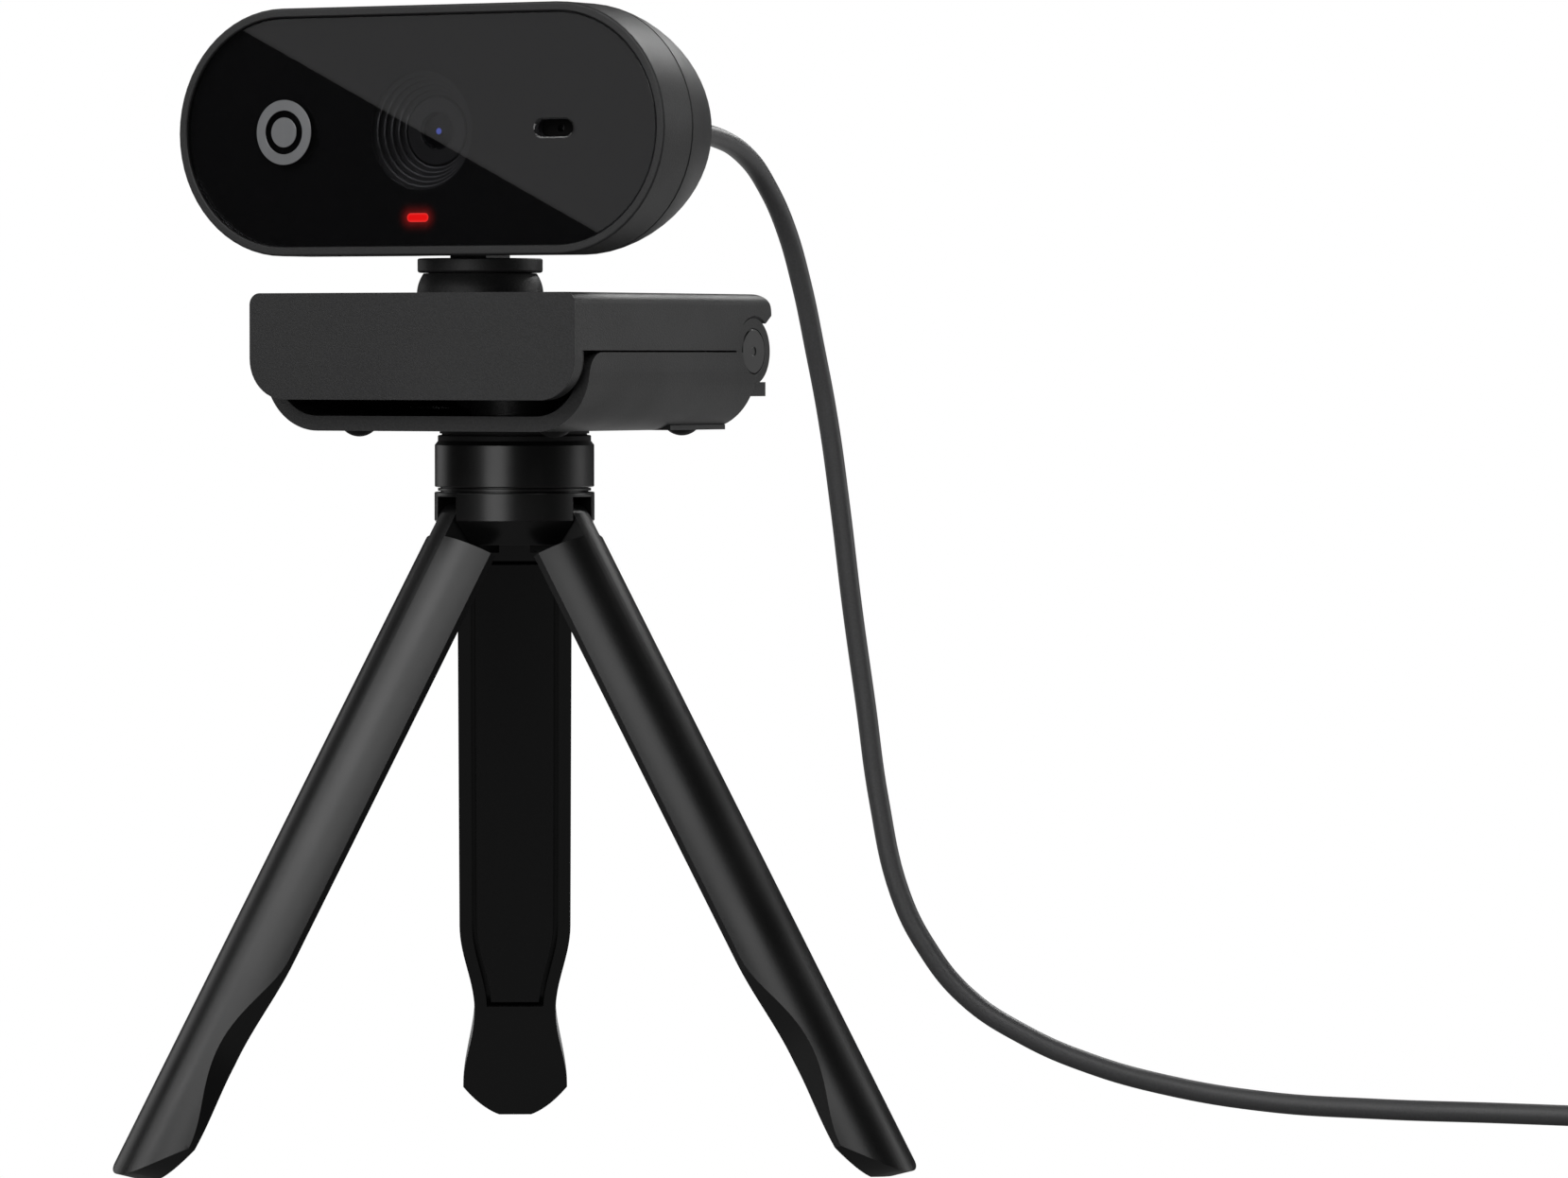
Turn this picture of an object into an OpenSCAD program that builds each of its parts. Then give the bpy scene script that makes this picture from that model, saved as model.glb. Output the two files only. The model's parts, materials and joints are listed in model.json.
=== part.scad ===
// Stadium-shaped webcam on a folding pocket tripod, with its USB lead.
// The webcam looks along -Y, +Z is up, and the origin is on the tripod's own
// axis at the height of its three feet. All sizes are in millimetres.

/* [Webcam head] */
// Width of the head, across its two round ends
head_w = 91; // [86:0.5:96]
// Height of the head
head_h = 39.6; // [38.6:0.2:40.6]
// Height of the head's middle above the feet
head_z = 165.3; // [164.8:0.1:166]
// How far the head's front face stands ahead of the tripod's axis
head_front = 29.2; // [28.6:0.1:29.4]
// Depth of the straight band behind the front face
band_depth = 8.8; // [8.4:0.1:9.2]
// Depth of the domed back behind the band
dome_depth = 20; // [19.5:0.1:20.5]
// How far the dome draws in from the band to its flat back
dome_inset = 10.7; // [10:0.1:11]
// Wall of the head's shells
shell_wall = 1.6; // [1.2:0.1:1.8]
// Width of the bezel's rim round the glass
rim_w = 1.4; // [1.2:0.1:1.6]

/* [Neck] */
// How far the neck's axis stands ahead of the tripod's axis
neck_ahead = 10.4; // [9.8:0.1:11]
// Diameter of the swivelling disc
disc_d = 20.1; // [18:0.1:20.4]
// Height of the tilt pin above the feet
tilt_z = 150; // [149.8:0.1:150.4]

/* [Screen clip] */
// Width of the clip's jaws
clip_w = 61; // [58:0.5:64]
// Top face of the upper jaw
clip_top = 139.6; // [139.4:0.1:139.8]
// Height at which the two jaws meet
clip_split = 130.3; // [130:0.1:130.6]
// Bottom face of the lower jaw
clip_bottom = 117.6; // [117.6:0.1:118]
// Lower edge of the front lip
lip_bottom = 122.6; // [121.6:0.1:123]
// Wall of the jaws
clip_wall = 2.2; // [2:0.1:2.4]

/* [Tripod] */
// Diameter of the hub and of the folded bundle of legs
hub_d = 25.9; // [25.8:0.1:26.4]
// Angle of each open leg from the vertical
leg_splay = 30; // [28:0.5:32]
// Length of a leg from its hinge pin to its tip
leg_length = 117.4; // [116:0.2:119]
// Half the width of a leg
leg_half_w = 9.33; // [8.8:0.01:9.6]
// Turn of the right-hand leg from the +X axis
leg_turn = 1.8; // [0:0.1:60]

/* [Lead] */
// Diameter of the USB lead
cord_d = 3.5; // [3:0.1:3.8]

/* [Hidden] */
$fn = 96;

// Colours
plastic_black = [0.07, 0.07, 0.075];
satin_black = [0.10, 0.10, 0.105];
rubber_black = [0.05, 0.05, 0.05];
steel = [0.62, 0.63, 0.65];
brass = [0.72, 0.58, 0.30];
board_green = [0.05, 0.25, 0.16];

// Head: places worked out from the driving sizes
face_y = -head_front;
band_y = face_y + band_depth;
back_y = band_y + dome_depth;
end_r = head_h / 2;
end_x = head_w / 2 - end_r;
glass_gap = 0.15;
glass_inset = rim_w + glass_gap;
glass_front_y = face_y + 0.2;
glass_back_y = glass_front_y + 1;
mask_back_y = glass_back_y + 0.1;
shelf_back_y = mask_back_y + 1.2;
// The dome's side is a power curve between an arc and a straight taper
dome_power = 1.33;
dome_steps = 10;
lens_window_r = 9.5;
lens_well_r = lens_window_r + 0.6;
lens_steps = 5;
lens_step_r = 0.76;
lens_step_y = 0.9;
barrel_y = mask_back_y + 4.5;
barrel_r = 5.5;
thread_r = 4;
lens_r = 2.95;
lens_y = barrel_y + 0.9;
board_y = -14;
board_t = 1.6;
led_x = -0.7;
led_z = head_z - 13.8;
mic_x = 25.2;
badge_x = -25.3;
screw_x = 34;
screw_dz = 11;
boss_r = 2.6;

// Neck and tilt joint
neck_y = -neck_ahead;
disc_r = disc_d / 2;
dome_top_z = clip_top + 3.2;
disc_z = dome_top_z + 0.1;
disc_top_z = disc_z + 2.3;
spindle_r = 3;
washer_r = 5.5;
washer_z = clip_top - clip_wall - 0.1;
tongue_w = 6.8;
tongue_r = 4;
ear_gap = 0.4;
ear_t = 3;
pocket_r = disc_r + 1.7;
pocket_top = tilt_z - 1.6;
tilt_pin_r = 1;

// Clip
lip_y = -31.3;
lip_t = 2.4;
lip_pad_t = 0.95;
jaw_tail_y = 29;
tail_r = 3.3;
jaw_gap = 0.15;
jaw_front_y = -26.8;
jaw_back_y = 25.5;
jaw_corner_r = 10;
stop_y = 30.7;
hinge_y = 25;
hinge_z = clip_split;
knuckle_r = 5.4;
knuckle_clear = 0.35;
hinge_pin_r = 1.5;
middle_knuckle_x = 24.2;
knuckle_end_x = clip_w / 2 - 0.3;
insert_r = 5;
insert_top = clip_bottom + 6.4;
screw_r = 3.175;
bump_x = 18.4;
bump_front_y = -17.7;
bump_back_y = 22.1;

// Tripod
leg_r = hub_d / 2 - 0.05;
leg_arc_r = 10.55;
leg_arc_at = 2.57;
leg_inner = 6.5;
pin_r = 9.4;
pin_z = 102.5;
leg_pin_r = 0.9;
knuckle_leg_r = leg_r - pin_r;
neck_w = 5;
slot_w = 6;
leg_shoulder = 4.1;
waist_top = 77.5;
waist_mid = 95;
foot_wide = 111.3;
foot_thin = 1;
nose_reach = 1.6;
sole_tilt = 15;
waist_half_w = leg_half_w - 2.46;
foot_half_w = leg_half_w - 0.48;
tip_power = 0.66;
leg_rim = 2.1;
panel_gap = 0.75;
panel_t = 1.6;
panel_end = 93.4;
hub_low_z = 99.2;
hub_split_z = 103.1;
hub_top_z = 107.6;
collar_z = 108.4;
collar_top = 115.3;
pad_z = 115.9;
spigot_r = 5;
pan_screw_r = 2;
LEGS = [["right", 0], ["rear", 120], ["left", 240]];

// Lead: where it runs from the strain relief to the coil, by hand
relief_z = 166;
relief_end_y = back_y + 12.4;
coil_x = 170;
coil_y = 103;
coil_mid_r = 19.5;
coil_half = 5.3;
coil_z = 0.5;
floor_z = 1.8;
cord_route = [
    [0, relief_end_y, relief_z], [0, 24, 166], [0, 38, 166.6], [0, 53, 166.9],
    [0, 64.5, 166.5], [0, 75, 163.4], [0, 82, 158.5], [0.5, 87.5, 151.5], [1.5, 91.2, 142],
    [3, 93.2, 131], [5, 94.4, 118.5], [7.2, 94.6, 104], [9.8, 94.4, 86], [12.6, 94, 70],
    [15.5, 93.5, 53.5], [19.6, 93.6, 37.5], [24, 94.8, 28.5], [30.5, 97.3, 20], [40, 101, 13.4],
    [50, 105.2, 8.8], [62, 110.5, 5.2], [78, 116.5, 2.6], [96, 121.5, floor_z],
    [118, 125, floor_z], [143, 127.4, floor_z], [162, 126.6, floor_z]
];
route_steps = 2;
cord_sides = 8;
plug_x = coil_x + coil_mid_r + cord_d;
plug_z = 3.9;
plug_tail_y = coil_y - 9.9;

// ---------- shared shapes ----------

// A 2-D stadium, w across its round ends and h high
module pill(w, h) {
    square([w - h, h], center = true);
    for (side = [-1, 1]) translate([side * (w - h) / 2, 0]) circle(d = h);
}

// Extrudes a 2-D outline drawn in X and Z from y0 to y1
module slab(y0, y1) {
    translate([0, y1, 0]) rotate([90, 0, 0]) linear_extrude(y1 - y0) children();
}

// Extrudes a 2-D outline drawn in Y and Z from x0 to x1
module bar(x0, x1) {
    translate([x0, 0, 0]) rotate([90, 0, 90]) linear_extrude(x1 - x0) children();
}

// A round rod along Y
module rod_y(x, z, r, y0, y1) {
    translate([x, y0, z]) rotate([-90, 0, 0]) cylinder(r = r, h = y1 - y0);
}

// A round rod along X
module rod_x(y, z, r, x0, x1) {
    translate([x0, y, z]) rotate([0, 90, 0]) cylinder(r = r, h = x1 - x0);
}

// A stadium slab of the head, drawn in by inset from the head's outline
module head_slab(inset, y0, y1) {
    slab(y0, y1) translate([0, head_z]) pill(head_w - 2 * inset, head_h - 2 * inset);
}

// Points on an arc about c, from angle a0 to a1
function arc(c, r, a0, a1, n) =
    [for (i = [0:n]) let (a = a0 + (a1 - a0) * i / n) c + r * [cos(a), sin(a)]];

// ---------- head ----------

// The dome's half outline: how far out, and how far behind the band
function dome_outline(inset) = [
    for (i = [0:dome_steps]) let (t = 90 * i / dome_steps)
        [end_r - inset - dome_inset * (1 - pow(cos(t), dome_power)),
         (dome_depth - inset) * pow(sin(t), dome_power)]
];

// The domed back as one solid: two half turns joined by a straight middle
module dome(inset) {
    side = dome_outline(inset);
    half = concat([[0, 0]], side, [[0, dome_depth - inset]]);
    both = concat(side, [for (i = [dome_steps:-1:0]) [-side[i][0], side[i][1]]]);
    for (turn = [0, 180])
        translate([0, band_y, head_z]) rotate([-90, 0, 0]) rotate([0, 0, turn])
            translate([end_x, 0, 0]) rotate([0, 0, -90]) rotate_extrude(angle = 180) polygon(half);
    translate([-end_x, band_y, head_z]) rotate([0, 90, 0]) linear_extrude(2 * end_x)
        polygon(both);
}

// The round pocket in the head's underside that the disc tilts in
module neck_pocket(r, top) {
    translate([0, neck_y, head_z - end_r - 1]) cylinder(r = r, h = top - head_z + end_r + 1);
}

module front_bezel() {
    color(plastic_black) difference() {
        union() {
            difference() {
                head_slab(0, face_y, band_y);
                head_slab(shell_wall, shelf_back_y, band_y + 1);
            }
            intersection() {
                head_slab(0, shelf_back_y, band_y);
                neck_pocket(pocket_r + 1.2, pocket_top + 1.2);
            }
            for (x = [-screw_x, screw_x], dz = [-screw_dz, screw_dz])
                rod_y(x, head_z + dz, boss_r, mask_back_y + 0.6, band_y);
        }
        head_slab(rim_w, face_y - 1, mask_back_y);
        neck_pocket(pocket_r, pocket_top);
        rod_y(0, head_z, lens_well_r + 0.1, mask_back_y - 1, band_y);
        slab(mask_back_y - 1, shelf_back_y + 1) translate([led_x, led_z]) pill(4.3, 1.6);
        slab(mask_back_y - 1, shelf_back_y + 1) translate([mic_x, head_z]) pill(6.9, 2.75);
        for (x = [-screw_x, screw_x], dz = [-screw_dz, screw_dz]) {
            rod_y(x, head_z + dz, 1.1, mask_back_y - 1, band_y + 1);
            rod_y(x, head_z + dz, 2, mask_back_y - 1, mask_back_y + 1.4);
        }
    }
}

module front_glass() {
    color([0.02, 0.02, 0.02]) difference() {
        head_slab(glass_inset, glass_front_y, glass_back_y);
        slab(glass_front_y - 1, glass_back_y + 1) translate([mic_x, head_z]) pill(6.9, 2.75);
    }
}

module glass_mask() {
    color([0.01, 0.01, 0.01]) difference() {
        head_slab(glass_inset, glass_back_y, mask_back_y);
        slab(glass_back_y - 1, mask_back_y + 1) translate([mic_x, head_z]) pill(6.9, 2.75);
        slab(glass_back_y - 1, mask_back_y + 1) translate([led_x, led_z]) pill(4.1, 1.4);
        rod_y(0, head_z, lens_window_r, glass_back_y - 1, mask_back_y + 1);
    }
}

// A plain ring and dot on the glass
module badge() {
    color([0.8, 0.8, 0.82]) {
        difference() {
            rod_y(badge_x, head_z, 5.2, glass_front_y - 0.12, glass_front_y);
            rod_y(badge_x, head_z, 3.5, glass_front_y - 1, glass_front_y + 1);
        }
        rod_y(badge_x, head_z, 2.4, glass_front_y - 0.12, glass_front_y);
    }
}

// The stepped black funnel between the glass and the lens
module lens_well() {
    color(plastic_black) difference() {
        rod_y(0, head_z, lens_well_r, mask_back_y, mask_back_y + 5.4);
        for (i = [0:lens_steps])
            rod_y(0, head_z, lens_window_r - i * lens_step_r,
                mask_back_y + (i == 0 ? -1 : i * lens_step_y - 0.1),
                i == lens_steps ? mask_back_y + 6 : mask_back_y + (i + 1) * lens_step_y);
    }
}

module lens_barrel() {
    color(plastic_black) difference() {
        union() {
            rod_y(0, head_z, barrel_r, barrel_y, barrel_y + 1.6);
            rod_y(0, head_z, thread_r, barrel_y + 1.6, board_y - 1.6);
        }
        rod_y(0, head_z, lens_r + 0.05, barrel_y - 1, lens_y + 1.1);
        rod_y(0, head_z, 1.6, lens_y + 1, board_y);
    }
}

module lens_glass() {
    color([0.25, 0.28, 0.36]) rod_y(0, head_z, lens_r, lens_y, lens_y + 1.1);
}

module lens_holder() {
    color(plastic_black) difference() {
        slab(barrel_y + 1.8, board_y) translate([-6.5, head_z - 6.5]) square(13);
        rod_y(0, head_z, thread_r + 0.05, barrel_y, board_y - 1.2);
        slab(board_y - 1.3, board_y + 1) translate([-3.6, head_z - 3.6]) square(7.2);
    }
}

module image_sensor() {
    color([0.2, 0.2, 0.28]) slab(board_y - 0.9, board_y)
        translate([-3.2, head_z - 2.8]) square([6.4, 5.6]);
}

module camera_board() {
    color(board_green) slab(board_y, board_y + board_t)
        translate([-31, tilt_z + 4.6]) square([62, 24]);
}

module status_led() {
    color([0.95, 0.2, 0.18]) slab(mask_back_y, mask_back_y + 3) translate([led_x, led_z]) pill(4.1, 1.4);
}

module mic_gasket() {
    color(rubber_black) difference() {
        rod_y(mic_x, head_z, 3.4, shelf_back_y, shelf_back_y + 1.5);
        rod_y(mic_x, head_z, 0.6, shelf_back_y - 1, shelf_back_y + 2);
    }
}

module microphone() {
    color(steel) rod_y(mic_x, head_z, 2, shelf_back_y + 1.5, shelf_back_y + 2.9);
}

module rear_shell() {
    ear_y0 = neck_y - tongue_r;
    color(plastic_black) difference() {
        union() {
            difference() {
                dome(0);
                dome(shell_wall);
            }
            intersection() {
                dome(0);
                union() {
                    neck_pocket(pocket_r + 1.2, pocket_top + 1.2);
                    for (x = [-screw_x, screw_x], dz = [-screw_dz, screw_dz])
                        rod_y(x, head_z + dz, boss_r, band_y, back_y - 6);
                    for (x = [-26, 26]) rod_y(x, head_z, 2, board_y + board_t, back_y - 1);
                    for (side = [-1, 1])
                        translate([side * (tongue_w / 2 + ear_gap + ear_t / 2) - ear_t / 2, ear_y0, pocket_top])
                            cube([ear_t, 2 * tongue_r, tilt_z + 4.2 - pocket_top]);
                }
            }
        }
        neck_pocket(pocket_r, pocket_top);
        translate([-tongue_w / 2 - ear_gap, neck_y - 4.5, pocket_top - 1])
            cube([tongue_w + 2 * ear_gap, 9, tilt_z + tongue_r + 0.3 - pocket_top + 1]);
        rod_x(neck_y, tilt_z, tilt_pin_r + 0.02, -8, 8);
        rod_y(0, relief_z, 2.4, back_y - 5, back_y + 1);
        for (x = [-screw_x, screw_x], dz = [-screw_dz, screw_dz])
            rod_y(x, head_z + dz, 1, band_y - 1, back_y - 9);
    }
}

module housing_screws() {
    color(steel) for (x = [-screw_x, screw_x], dz = [-screw_dz, screw_dz]) {
        rod_y(x, head_z + dz, 0.98, mask_back_y + 1.4, back_y - 9.5);
        rod_y(x, head_z + dz, 1.9, mask_back_y + 0.2, mask_back_y + 1.4);
    }
}

module tilt_pin() {
    pin_end = tongue_w / 2 + ear_gap + ear_t;
    color(steel) rod_x(neck_y, tilt_z, tilt_pin_r, -pin_end, pin_end);
}

module strain_relief() {
    color(rubber_black) {
        rod_y(0, relief_z, 2.35, back_y - 2, back_y);
        rod_y(0, relief_z, 3.6, back_y - 3.2, back_y - 1.6);
        translate([0, back_y, relief_z]) rotate([-90, 0, 0])
            cylinder(r1 = 3.1, r2 = 2.2, h = relief_end_y - back_y);
    }
}

// ---------- neck ----------

module neck_disc() {
    color(plastic_black) difference() {
        union() {
            translate([0, neck_y, disc_z]) cylinder(r = disc_r, h = disc_top_z - disc_z);
            translate([0, neck_y, washer_z]) cylinder(r = spindle_r, h = disc_z + 1 - washer_z);
            translate([-tongue_w / 2, neck_y - 3.6, disc_top_z - 1])
                cube([tongue_w, 7.2, tilt_z - disc_top_z + 1]);
            rod_x(neck_y, tilt_z, tongue_r, -tongue_w / 2, tongue_w / 2);
        }
        rod_x(neck_y, tilt_z, tilt_pin_r + 0.05, -tongue_w, tongue_w);
        translate([0, neck_y, washer_z - 1]) cylinder(r = 1.1, h = 6);
    }
}

// The flared foot that the disc turns on, set into the upper jaw
module swivel_base() {
    flare = concat([[spindle_r + 0.05, 0], [disc_r + 0.1, 0]],
        [for (i = [0:6]) [disc_r - 0.95 + 1.05 * pow(cos(15 * i), 2), 3.2 * sin(15 * i)]],
        [[spindle_r + 0.05, 3.2]]);
    color(plastic_black) {
        translate([0, neck_y, clip_top]) rotate_extrude() polygon(flare);
        translate([0, neck_y, clip_top - clip_wall]) difference() {
            cylinder(r = 4.2, h = clip_wall);
            translate([0, 0, -1]) cylinder(r = spindle_r + 0.05, h = clip_wall + 2);
        }
    }
}

module swivel_screw() {
    color(steel) {
        translate([0, neck_y, washer_z - 1.2]) cylinder(r = washer_r, h = 1.2);
        translate([0, neck_y, washer_z - 2.5]) cylinder(r = 2.2, h = 1.4);
        translate([0, neck_y, washer_z - 0.1]) cylinder(r = 1.05, h = 4.8);
    }
}

// ---------- screen clip ----------

// The upper jaw seen from the side: the plate, its rounded back and the lip
function upper_side() = concat(
    [[lip_y, lip_bottom], [lip_y, clip_top]],
    arc([jaw_tail_y - tail_r, clip_top - tail_r], tail_r, 90, 0, 6),
    [[jaw_tail_y - 2.2, clip_top - 5], [jaw_tail_y - 2.2, hinge_z + jaw_gap], [lip_y + lip_t, hinge_z + jaw_gap], [lip_y + lip_t, lip_bottom]]);

// The jaws seen from the front, rb and rt being the lower and upper corners
module jaw_front(w, z0, z1, rb, rt) {
    translate([-w / 2 + rb, z0]) square([w - 2 * rb, rb]);
    translate([-w / 2, z0 + rb]) square([w, z1 - z0 - rb - rt]);
    translate([-w / 2 + rt, z1 - rt]) square([w - 2 * rt, rt]);
    for (side = [-1, 1]) {
        translate([side * (w / 2 - rb), z0 + rb]) circle(r = rb);
        translate([side * (w / 2 - rt), z1 - rt]) circle(r = rt);
    }
}

module upper_jaw() {
    split = hinge_z + jaw_gap;
    inner = clip_w / 2 - clip_wall;
    color(plastic_black) difference() {
        union() {
            difference() {
                intersection() {
                    bar(-clip_w, clip_w) polygon(upper_side());
                    slab(lip_y - 1, 32) jaw_front(clip_w, lip_bottom, clip_top, 6.5, 1.9);
                }
                translate([-inner, -26.5, split - 1]) cube([2 * inner, 46, 2.2]);
                translate([1 - inner, -25.5, split]) cube([2 * inner - 2, 44, clip_top - clip_wall - split]);
                for (side = [-1, 1])
                    rod_x(hinge_y, hinge_z, knuckle_r + knuckle_clear,
                        side > 0 ? middle_knuckle_x : -clip_w, side > 0 ? clip_w : -middle_knuckle_x);
            }
            rod_x(hinge_y, hinge_z, knuckle_r, -middle_knuckle_x, middle_knuckle_x);
        }
        rod_x(hinge_y, hinge_z, hinge_pin_r + 0.05, -clip_w, clip_w);
        translate([0, neck_y, clip_top - clip_wall - 1]) cylinder(r = 4.25, h = clip_wall + 2);
    }
}

module jaw_pad() {
    inner = clip_w / 2 - clip_wall - 0.1;
    color(rubber_black) translate([-inner, -26.4, hinge_z + jaw_gap + 0.05]) cube([2 * inner, 45.8, 1.1]);
}

module lip_pad() {
    color(rubber_black) slab(lip_y + lip_t, lip_y + lip_t + lip_pad_t) intersection() {
        jaw_front(clip_w - 0.6, lip_bottom + 0.3, clip_top, 6.2, 1.9);
        translate([-clip_w, 0]) square([2 * clip_w, clip_split + 0.1]);
    }
}

module lower_jaw() {
    top = clip_split - jaw_gap;
    inner_r = jaw_corner_r - clip_wall;
    floor_t = 2.4;
    color(plastic_black) difference() {
        union() {
            difference() {
                slab(jaw_front_y, jaw_back_y)
                    jaw_front(clip_w, clip_bottom, top + jaw_corner_r, jaw_corner_r, 1);
                slab(jaw_front_y - 1, jaw_back_y - clip_wall)
                    jaw_front(clip_w - 2 * clip_wall, clip_bottom + floor_t, top + 20, inner_r, 1);
                translate([-clip_w, jaw_front_y - 1, top]) cube([2 * clip_w, 60, 20]);
                bar(-clip_w, clip_w) difference() {
                    translate([jaw_front_y - 1, top - 3.8]) square([4.8, 4.8]);
                    translate([jaw_front_y + 3.8, top - 3.8]) circle(r = 3.8);
                }
            }
            translate([0, 0, clip_bottom + 1]) cylinder(r = insert_r + 2, h = insert_top - clip_bottom - 1);
            for (side = [-1, 1])
                rod_x(hinge_y, hinge_z, knuckle_r,
                    side > 0 ? middle_knuckle_x + 0.3 : -knuckle_end_x,
                    side > 0 ? knuckle_end_x : -middle_knuckle_x - 0.3);
            translate([-29.2, jaw_back_y - 0.5, clip_bottom + 5.4]) cube([58.4, stop_y - jaw_back_y + 0.5, 2.3]);
            translate([-24.6, 8, clip_bottom]) cube([49.2, jaw_back_y - 8, 0.8]);
        }
        rod_x(hinge_y, hinge_z, knuckle_r + knuckle_clear, -middle_knuckle_x - 0.3, middle_knuckle_x + 0.3);
        for (side = [-1, 1]) {
            x0 = side > 0 ? knuckle_end_x : -clip_w;
            rod_x(hinge_y, hinge_z, knuckle_r + knuckle_clear, x0, x0 + clip_w - knuckle_end_x);
            translate([side > 0 ? knuckle_end_x - 2 : -knuckle_end_x, hinge_y, hinge_z])
                rotate([0, 90, 0]) cylinder(r = 3.7, h = 2);
        }
        rod_x(hinge_y, hinge_z, hinge_pin_r + 0.02, -clip_w, clip_w);
        translate([0, 0, clip_bottom - 1]) cylinder(r = insert_r, h = insert_top - clip_bottom + 2);
        for (x = [-bump_x, bump_x], y = [bump_front_y, bump_back_y])
            translate([x, y, clip_bottom - 1]) cylinder(r = 1.25, h = 3);
    }
}

// Brass bush that takes the tripod's quarter-inch screw
module thread_insert() {
    color(brass) translate([0, 0, clip_bottom + 0.1]) difference() {
        cylinder(r = insert_r, h = insert_top - clip_bottom - 0.1);
        translate([0, 0, -1]) cylinder(r = screw_r + 0.07, h = 9);
    }
}

// Four small rubber domes under the lower jaw
module jaw_bumps() {
    color(rubber_black) for (x = [-bump_x, bump_x], y = [bump_front_y, bump_back_y])
        translate([x, y, clip_bottom]) {
            cylinder(r = 1.2, h = 1.8);
            intersection() {
                translate([0, 0, 2.5]) sphere(r = 3.5);
                translate([-4, -4, -2]) cube([8, 8, 2]);
            }
        }
}

module hinge_pin() {
    end = knuckle_end_x - 2;
    color(steel) rod_x(hinge_y, hinge_z, hinge_pin_r, -end, end);
}

module hinge_caps() {
    color(satin_black) for (side = [-1, 1])
        rod_x(hinge_y, hinge_z, 3.65, side > 0 ? knuckle_end_x - 2 : -knuckle_end_x - 0.1,
            side > 0 ? knuckle_end_x + 0.1 : 2 - knuckle_end_x);
}

// ---------- tripod ----------

module pan_collar() {
    color(satin_black) difference() {
        union() {
            translate([0, 0, collar_z]) cylinder(r = leg_r, h = collar_top - collar_z);
            translate([0, 0, collar_top]) cylinder(r1 = leg_r, r2 = leg_r - 0.5, h = pad_z - collar_top);
        }
        translate([0, 0, collar_z - 1]) cylinder(r = spigot_r + 0.05, h = 4);
        translate([0, 0, collar_z]) cylinder(r = pan_screw_r, h = 5.2);
        translate([0, 0, pad_z - 2.7]) cylinder(r = 6.05, h = 4);
    }
}

module pan_screw() {
    color(steel) {
        translate([0, 0, hub_low_z + 0.8]) cylinder(r = 3.6, h = 2.2);
        translate([0, 0, hub_low_z + 2.9]) cylinder(r = pan_screw_r - 0.02, h = 10.5);
    }
}

module camera_screw() {
    color(steel) {
        translate([0, 0, pad_z - 2.6]) cylinder(r = 6, h = 2.4);
        translate([0, 0, pad_z - 0.5]) cylinder(r = screw_r, h = clip_bottom + 6 - pad_z + 0.5);
    }
}

module top_pad() {
    color(rubber_black) translate([0, 0, pad_z]) difference() {
        cylinder(r = leg_r - 0.5, h = clip_bottom - pad_z);
        translate([0, 0, -1]) cylinder(r = screw_r + 0.3, h = 4);
    }
}

module friction_ring() {
    color([0.03, 0.03, 0.03]) translate([0, 0, hub_top_z]) difference() {
        cylinder(r = leg_r - 0.5, h = collar_z - hub_top_z);
        translate([0, 0, -1]) cylinder(r = spigot_r + 0.3, h = 3);
    }
}

// The three radial slots that the legs' knuckles turn in
module leg_slots() {
    for (leg = LEGS) rotate([0, 0, leg_turn + leg[1]])
        translate([5.6, -slot_w / 2, hub_low_z - 1]) cube([10, slot_w, hub_top_z - hub_low_z + 0.3]);
}

// Grooves for the hinge pins; open makes each one reach up to the split
module pin_grooves(open) {
    for (leg = LEGS) rotate([0, 0, leg_turn + leg[1]]) {
        translate([pin_r, 5.3, pin_z]) rotate([90, 0, 0]) cylinder(r = leg_pin_r + 0.02, h = 10.6);
        if (open) translate([pin_r - leg_pin_r - 0.02, -5.3, pin_z])
            cube([2 * leg_pin_r + 0.04, 10.6, 2]);
    }
}

module hub() {
    color(satin_black) difference() {
        union() {
            translate([0, 0, hub_split_z]) cylinder(r = hub_d / 2, h = hub_top_z - hub_split_z);
            translate([0, 0, hub_top_z]) cylinder(r = spigot_r, h = 3.2);
        }
        leg_slots();
        pin_grooves(false);
        translate([0, 0, hub_split_z - 1]) cylinder(r = pan_screw_r + 0.1, h = 12);
    }
}

module hub_base() {
    color(satin_black) difference() {
        translate([0, 0, hub_low_z]) cylinder(r1 = hub_d / 2 - 2.3, r2 = hub_d / 2, h = hub_split_z - hub_low_z);
        leg_slots();
        pin_grooves(true);
        translate([0, 0, hub_low_z - 1]) cylinder(r = pan_screw_r + 0.1, h = 6);
        translate([0, 0, hub_low_z - 1]) cylinder(r = 3.9, h = 4);
    }
}

module leg_pins() {
    color(steel) for (leg = LEGS) rotate([0, 0, leg_turn + leg[1]])
        translate([pin_r, 5.2, pin_z]) rotate([90, 0, 0]) cylinder(r = leg_pin_r, h = 10.4);
}

// Moves a leg, drawn hanging straight down from its pin, to its open place
module open_leg(i) {
    rotate([0, 0, leg_turn + LEGS[i][1]]) translate([pin_r, 0, pin_z]) rotate([0, -leg_splay, 0])
        children();
}

// A smooth step from a to b as t goes from 0 to 1
function ease(a, b, t) = a + (b - a) * (1 - cos(180 * t)) / 2;

// Half the leg's width, s below its pin
function leg_half(s) =
    s < waist_top ? leg_half_w
    : s < waist_mid ? ease(leg_half_w, waist_half_w, (s - waist_top) / (waist_mid - waist_top))
    : s < foot_wide ? ease(waist_half_w, foot_half_w, (s - waist_mid) / (foot_wide - waist_mid))
    : foot_half_w * pow((leg_length + nose_reach - s) / (leg_length + nose_reach - foot_wide), tip_power);

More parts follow.
